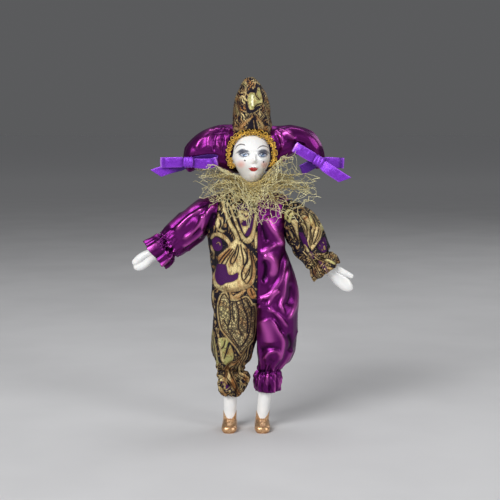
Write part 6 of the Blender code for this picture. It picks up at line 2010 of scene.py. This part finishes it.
def make_hand(name, wrist, tip, thumb_side, middle_y, palm, thumb_line, material):
    """A mitten hand: fingers cast together, and a thumb that stands off from them.
    palm is the half widths on the thumb's side and the other, and thumb_line gives
    the thumb's middle and radius."""
    wrist, tip = np.array(wrist, float), np.array(tip, float)
    reach = tip - wrist
    length = np.linalg.norm(reach)
    along = reach / length
    up = np.array([-along[2], 0, along[0]]) * thumb_side
    near, far = palm
    rows = [
        (-0.42, 4.9, 4.9, 4.4), (-0.20, 5.3, 5.3, 4.5), (0.0, 5.8, 5.8, 4.6), (0.18, 0.84 * near, 0.84 * far, 4.8),
        (0.38, 0.96 * near, 0.96 * far, 4.6), (0.58, near, far, 4.3), (0.76, 0.88 * near, 0.95 * far, 3.8),
        (0.90, 0.62 * near, 0.70 * far, 3.1), (0.975, 0.32 * near, 0.36 * far, 2.0), (1.0, 0.5, 0.6, 0.5),
    ]
    n, cols = 92, 72
    values = table(rows, np.linspace(0, 1, n))
    a = np.arange(cols) / cols * TAU
    share = values[:, 0][:, None]
    c, s = np.cos(a)[None, :], np.sin(a)[None, :]
    across = np.where(c > 0, values[:, 1][:, None], values[:, 2][:, None]) * spow(c, 2 / 2.2)
    deep = values[:, 3][:, None] * spow(s, 2 / 2.2)
    front = step(0.0, 0.5, -s)
    # A hollow palm, and faint grooves between the fingers.
    hollow = np.exp(-(((across - 1.6) / 3.0) ** 2) - (((share - 0.56) / 0.16) ** 2))
    deep = deep + front * 0.9 * hollow
    for k in range(1, 4):
        line = far * (0.55 - 0.42 * k)
        finger = np.exp(-(((across - line) / 0.5) ** 2)) * step(0.60, 0.78, share) * step(0.99, 0.93, share)
        deep = deep + front * 0.16 * finger - step(0.0, 0.5, s) * 0.26 * finger
    deep = deep + 0.25 * np.exp(-(((share - 0.62) / 0.10) ** 2)) * step(0, 0.5, s)
    grid = wrist + (share * length)[..., None] * along + across[..., None] * up
    grid[..., 1] = middle_y + deep
    verts = [grid.reshape(-1, 3), grid[0].mean(0)[None], grid[-1].mean(0)[None]]
    count = n * cols
    quads = [grid_faces(n, cols, True)]
    tris = [fan(np.arange(cols), count, True), fan(np.arange(cols) + (n - 1) * cols, count + 1, False)]
    count += 2
    # The thumb, rounded at its tip.
    knots = np.array(thumb_line, float)
    m, sides = 40, 32
    path = smooth_line(knots[:, :3], m)
    thick = np.interp(np.linspace(0, 1, m), np.linspace(0, 1, len(knots)), knots[:, 3])
    way = np.gradient(path, axis=0)
    way /= np.linalg.norm(way, axis=1, keepdims=True)
    end = path[-1] + way[-1] * thick[-1] * np.sin(np.linspace(0.1, 1.5, 10))[:, None]
    path = np.vstack([path, end])
    thick = np.concatenate([thick, thick[-1] * np.cos(np.linspace(0.1, 1.5, 10))])
    way = np.vstack([way, np.repeat(way[-1:], 10, 0)])
    flat_up = np.stack([-way[:, 2], 0 * way[:, 0], way[:, 0]], -1)
    b = np.arange(sides) / sides * TAU
    lobe = path[:, None] + (thick[:, None] * np.cos(b))[..., None] * flat_up[:, None]
    lobe[..., 1] += 1.06 * thick[:, None] * np.sin(b)
    verts += [lobe.reshape(-1, 3), lobe[0].mean(0)[None], lobe[-1].mean(0)[None]]
    rows_n = len(path)
    quads.append(grid_faces(rows_n, sides, True, count))
    tris += [fan(np.arange(sides) + count, count + rows_n * sides, True), fan(np.arange(sides) + count + (rows_n - 1) * sides, count + rows_n * sides + 1, False)]
    mesh = build_mesh(name + "_porcelain", np.vstack(verts), [np.vstack(quads), np.vstack(tris)])
    turn_out(mesh)
    attribute(mesh, "paint", np.zeros((len(mesh.vertices), 4)), "FLOAT_COLOR")
    obj = put(name + "_porcelain", mesh, material)
    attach(obj, "root")
    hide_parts(name)


# ---------------------------------------------------------------- legs

SHOE_ROWS = [
    # y from the ankle, half width, height
    (9.5, 4.2, 9.5), (7.0, 6.6, 13.2), (1.5, 7.6, 13.4), (-4.0, 7.8, 12.0), (-10.0, 7.9, 9.9),
    (-17.0, 7.85, 8.6), (-21.8, 6.5, 7.2), (-24.0, 3.4, 5.0),
]


def make_leg(name, top, ankle, toe_turn, material):
    top, ankle = np.array(top, float), np.array(ankle, float)
    rows = [(58.2, 6.9), (46.0, 7.0), (34.0, 6.9), (24.0, 6.65), (16.0, 6.5), (10.0, 6.5), (5.0, 6.3)]
    values = table(rows, np.linspace(0, 1, 56))
    a = np.arange(72) / 72 * TAU
    rings = []
    for z, r in values:
        t = min((top[2] - z) / (top[2] - ankle[2]), 1.0)
        c = top + (ankle - top) * t
        calf = 1 + 0.05 * math.exp(-(((z - 44) / 12) ** 2))
        rings.append(np.stack([c[0] + r * np.cos(a) * (2 - calf) ** 0.3, c[1] + r * calf * np.sin(a), np.full_like(a, z)], -1))
    leg_grid = np.array(rings)
    # The shoe's gold climbs the ankle: high at the sides, low in front.
    side, behind = np.abs(np.cos(a))[None, :], step(0.0, 0.6, np.sin(a))[None, :]
    top_line = (1 - behind) * (10.2 + 8.6 * side**1.9) + behind * (15.5 + 2.9 * side)
    above = np.clip(top_line - leg_grid[..., 2], -3, 3)
    swell = 0.35 * step(-0.1, 0.8, above)
    leg_grid[..., 0] += swell * np.cos(a)[None, :]
    leg_grid[..., 1] += swell * np.sin(a)[None, :]
    leg_verts = leg_grid.reshape(-1, 3)
    leg_quads = grid_faces(len(rings), 72, True)

    n, cols = 124, 100
    # The toe and heel are rounded by closely spaced last rings.
    t = 0.5 - 0.5 * np.cos(math.pi * np.linspace(0, 1, n))
    t = 0.35 * t + 0.65 * np.linspace(0, 1, n)
    y, half, high = table(SHOE_ROWS, t).T
    b = np.arange(cols) / cols * TAU
    rise = 0.5 * (1 + spow(np.sin(b), 2 / 2.3))[None, :]
    round_end = np.sqrt(np.clip((t + 0.02) / 0.06, 0, 1) * np.clip((1.02 - t) / 0.06, 0, 1))[:, None]
    x = half[:, None] * spow(np.cos(b), 2 / 2.3)[None, :] * round_end
    # The sides draw in round the ankle.
    x = x * (1 - 0.20 * step(0.45, 1.0, rise) * step(-12.0, -4.0, y)[:, None])
    z = high[:, None] * (1.16 * rise - 0.16)
    # A thin sole, flat beneath.
    z = np.maximum(z, 0.0)
    yy = y[:, None] + 0 * x
    # The opening: a rounded V down the instep, painted porcelain inside it.
    reach = np.clip((yy + 7.0) / 8.0, 0, 1)
    open_half = 6.6 * reach
    inside = open_half - np.abs(x)
    upper = step(0.30, 0.55, rise)
    opening = np.minimum(inside, (yy + 7.0) * 0.8) * upper - 3 * (1 - upper)
    opening = np.minimum(opening, -2.0 - yy)
    shoe = -opening
    edge = np.exp(-((opening + 0.45) / 0.55) ** 2) * upper
    z = z + 0.30 * edge - 0.5 * step(0.0, 1.2, opening) * upper
    welt = np.exp(-(((z - 1.7) / 0.45) ** 2))
    x = x * (1 - 0.020 * welt)
    # A moulded bow at the point of the V.
    bow = 0.0 * x
    for s in (-1, 1):
        bow = bow + 1.1 * np.exp(-(((x - s * 2.3) / 1.5) ** 2) - (((yy + 13.6 + 0.25 * s * (x - s * 2.3)) / 0.95) ** 2))
        bow = bow - 0.35 * np.exp(-(((x - s * 2.1) / 0.9) ** 2) - (((yy + 13.6) / 0.3) ** 2))
        bow = bow + 0.45 * np.exp(-(((x - s * (1.4 + 0.3 * (-14.8 - yy))) / 0.5) ** 2) - (((yy + 15.6) / 1.2) ** 2))
    bow = bow + 1.25 * np.exp(-((x / 0.75) ** 2) - (((yy + 13.6) / 0.8) ** 2))
    z = z + bow * upper
    # The gold is darker along the sole and round the edge of the opening.
    darker_gold = np.clip(0.9 * np.exp(-((z - 1.2) / 0.9) ** 2) + 0.7 * np.exp(-((opening + 1.1) / 0.5) ** 2) * upper, 0, 1)
    shoe_grid = np.stack([ankle[0] + x + toe_turn * yy, ankle[1] + yy, z], -1)
    ends = np.stack([shoe_grid[0].mean(0), shoe_grid[-1].mean(0)])
    shoe_verts = np.vstack([shoe_grid.reshape(-1, 3), ends])
    shoe_quads = grid_faces(n, cols, True)
    first, last = fan(np.arange(cols), n * cols, True), fan(np.arange(cols) + (n - 1) * cols, n * cols + 1, False)
    offset = len(leg_verts)
    tris = np.concatenate([first, last]) + offset
    top_mid = leg_grid[0].mean(0)[None]
    verts = np.vstack([leg_verts, shoe_verts, top_mid])
    cap = fan(np.arange(72), len(verts) - 1, True)
    mesh = build_mesh(name + "_porcelain", verts, [leg_quads, shoe_quads + offset, np.concatenate([tris, cap])])
    # Each shell is turned outwards on its own.
    turn_out(mesh)
    value = np.concatenate([above.ravel(), np.clip(shoe, -3, 3).ravel(), [3.0, 3.0, -3.0]])
    attribute(mesh, "shoe", value)
    attribute(mesh, "darker_gold", np.concatenate([np.zeros(len(leg_verts)), darker_gold.ravel(), [0, 0, 0]]))
    obj = put(name + "_porcelain", mesh, material)
    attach(obj, "root")
    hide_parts(name)


def turn_out(mesh):
    """Makes the normals of a mesh of closed shells point outwards."""
    shape = bmesh.new()
    shape.from_mesh(mesh)
    bmesh.ops.recalc_face_normals(shape, faces=shape.faces[:])
    shape.to_mesh(mesh)
    shape.free()


# ============================================================ the doll

porcelain = porcelain_material("porcelain")
painted = porcelain_material("porcelain_face", "face")
brocade = brocade_material()
# The satin's dark colour also serves as its painted shade, and its last colour is only its painted highlight.
satin = satin_material("satin_purple", (0.014, 0.001, 0.018), (0.158, 0.011, 0.158), (0.540, 0.095, 0.440))
ribbon = ribbon_material()
braid = thread_material("gold_braid", (0.42, 0.20, 0.012), (0.95, 0.62, 0.09), 0.45)
net = net_material()

make_suit("suit_right", -1, RIGHT_HALF, -12.0, brocade, suit_ornament, BROCADE_SUIT_CREASES, 31)
make_suit("suit_left", 1, LEFT_HALF, 26.0, satin, None, SATIN_SUIT_CREASES, 41)
make_sleeve("sleeve_right", -1, RIGHT_SLEEVE, satin, None, SATIN_SLEEVE_CREASES, 51)
make_sleeve("sleeve_left", 1, LEFT_SLEEVE, brocade, sleeve_ornament, BROCADE_SLEEVE_CREASES, 61)
make_crown(brocade)
make_horn("hat_horn_right", -1, RIGHT_HORN, RIGHT_HORN_CREASES, satin, 81)
make_horn("hat_horn_left", 1, LEFT_HORN, LEFT_HORN_CREASES, satin, 91)
make_trim(braid)

right_bow = make_bow(
    "bow_right", (-53.0, -17.0, 272.6), 0.0,
    # direction, length, fatness, lift, depth at its end, width, gape, shade
    [(181.0, 25.0, 2.5, 0.2, 0.6, 10.2, 0.0, 0.0), (4.0, 25.5, 3.2, -0.6, 2.0, 9.8, 2.7, 0.15)],
    # line, width, pinch at the knot, slant of the cut, shade at the knot and at the end
    [([(-56.0, -14.4, 270.0), (-66.0, -13.6, 267.6), (-76.0, -13.8, 264.8), (-85.5, -14.2, 261.5)], 9.8, 0.8, -8.2, 0.95, -0.1)],
    ribbon,
)
left_bow = make_bow(
    "bow_left", (75.6, -17.0, 273.6), -30.0,
    [(150.0, 25.0, 2.6, 0.4, 0.4, 10.4, 0.0, -0.05), (-3.0, 22.5, 2.4, -0.6, 1.4, 10.4, 0.0, 0.30)],
    [
        ([(78.0, -18.6, 271.0), (86.0, -20.6, 265.4), (94.0, -20.6, 260.2), (101.6, -20.0, 255.3)], 10.7, 0.8, 8.0, 0.15, 0.0),
        ([(73.0, -14.4, 272.4), (67.0, -13.4, 269.2), (58.4, -13.8, 264.4)], 10.2, 0.85, 1.5, 1.0, 0.72),
    ],
    ribbon,
)

make_ruff(net)
make_head(painted)
make_hand(
    "hand_right", (-86.8, -9.0, 180.2), (-108.4, -9.5, 165.8), -1, -9.5, (7.2, 6.0),
    [(-88.4, -10.6, 183.2, 3.9), (-97.0, -11.0, 179.8, 4.2), (-103.0, -10.8, 176.0, 4.2), (-107.0, -10.4, 172.6, 3.6)], painted,
)
make_hand(
    "hand_left", (88.4, -9.0, 163.8), (110.8, -9.5, 144.6), 1, -9.5, (6.0, 7.6),
    [(90.6, -10.0, 167.4, 4.0), (97.0, -10.8, 164.4, 3.7), (103.6, -11.0, 161.2, 3.2), (109.4, -10.8, 158.4, 2.5)], painted,
)
shoes = leg_material()
make_leg("leg_right", (-11.7, -0.8, 58.2), (-12.9, 1.6, 10.0), 0.02, shoes)
make_leg("leg_left", (25.9, -0.8, 58.2), (20.2, 1.6, 10.0), -0.01, shoes)


# ========================================================= floor and light

def stage_floor():
    n = Nodes("studio_floor")
    where = n.new("ShaderNodeTexCoord").outputs["Object"]
    x, y, _ = n.split(where)
    away = n.math("SQRT", n.math("ADD", n.math("MULTIPLY", x, x), n.math("MULTIPLY", y, y)))
    pale = n.mix(n.ramp(n.noise(where, 6.0, 3.0), 0.3, 0.7), (0.60, 0.60, 0.61), (0.64, 0.64, 0.65))
    n.set(Base_Color=n.mix(n.ramp(away, 1.5, 6.0), pale, (0.99, 0.99, 0.995)), Roughness=0.9, Specular_IOR_Level=0.2)
    mesh = bpy.data.meshes.new("studio_floor")
    size = 40.0
    mesh.from_pydata([(-size, -size, 0), (size, -size, 0), (size, size, 0), (-size, size, 0)], [], [(0, 1, 2, 3)])
    return put("studio_floor", mesh, n.material)


def soft_box(name, place, at, size, power, colour=(1, 1, 1)):
    lamp = bpy.data.lights.new(name, "AREA")
    lamp.shape = "RECTANGLE"
    lamp.size, lamp.size_y = size
    lamp.energy = power
    lamp.color = colour
    obj = bpy.data.objects.new(name, lamp)
    obj.location = place
    obj.rotation_euler = (Vector(at) - Vector(place)).to_track_quat("-Z", "Y").to_euler()
    obj.visible_camera = False
    bpy.context.scene.collection.objects.link(obj)
    return obj


lights = [
    soft_box("key_light", (-1.05, -1.75, 1.45), (0.0, 0.0, 0.20), (1.15, 1.35), 50.0),
    soft_box("fill_light", (1.55, -1.35, 0.95), (0.0, 0.0, 0.18), (0.60, 1.30), 13.0),
    soft_box("top_light", (0.10, 0.25, 1.90), (0.0, 0.0, 0.15), (1.00, 0.70), 8.0),
    soft_box("back_light", (1.50, 1.35, 1.25), (0.0, 0.0, 0.20), (0.70, 1.10), 5.5),
]
world = bpy.data.worlds.new("studio_air")
world.use_nodes = True
world.node_tree.nodes["Background"].inputs["Color"].default_value = (0.86, 0.87, 0.90, 1.0)
world.node_tree.nodes["Background"].inputs["Strength"].default_value = 0.12
bpy.context.scene.world = world
bpy.context.scene.view_settings.view_transform = "Standard"

camera = bpy.data.cameras.new("front_camera")
camera.lens = 85.0
camera.sensor_width = 36.0
camera.clip_start = 0.05
view = bpy.data.objects.new("front_camera", camera)
view.location = Vector(VIEW_FROM * MM)
view.rotation_euler = (math.pi / 2 - VIEW_RISE, 0.0, 0.0)
bpy.context.scene.collection.objects.link(view)
bpy.context.scene.camera = view

stage_floor()
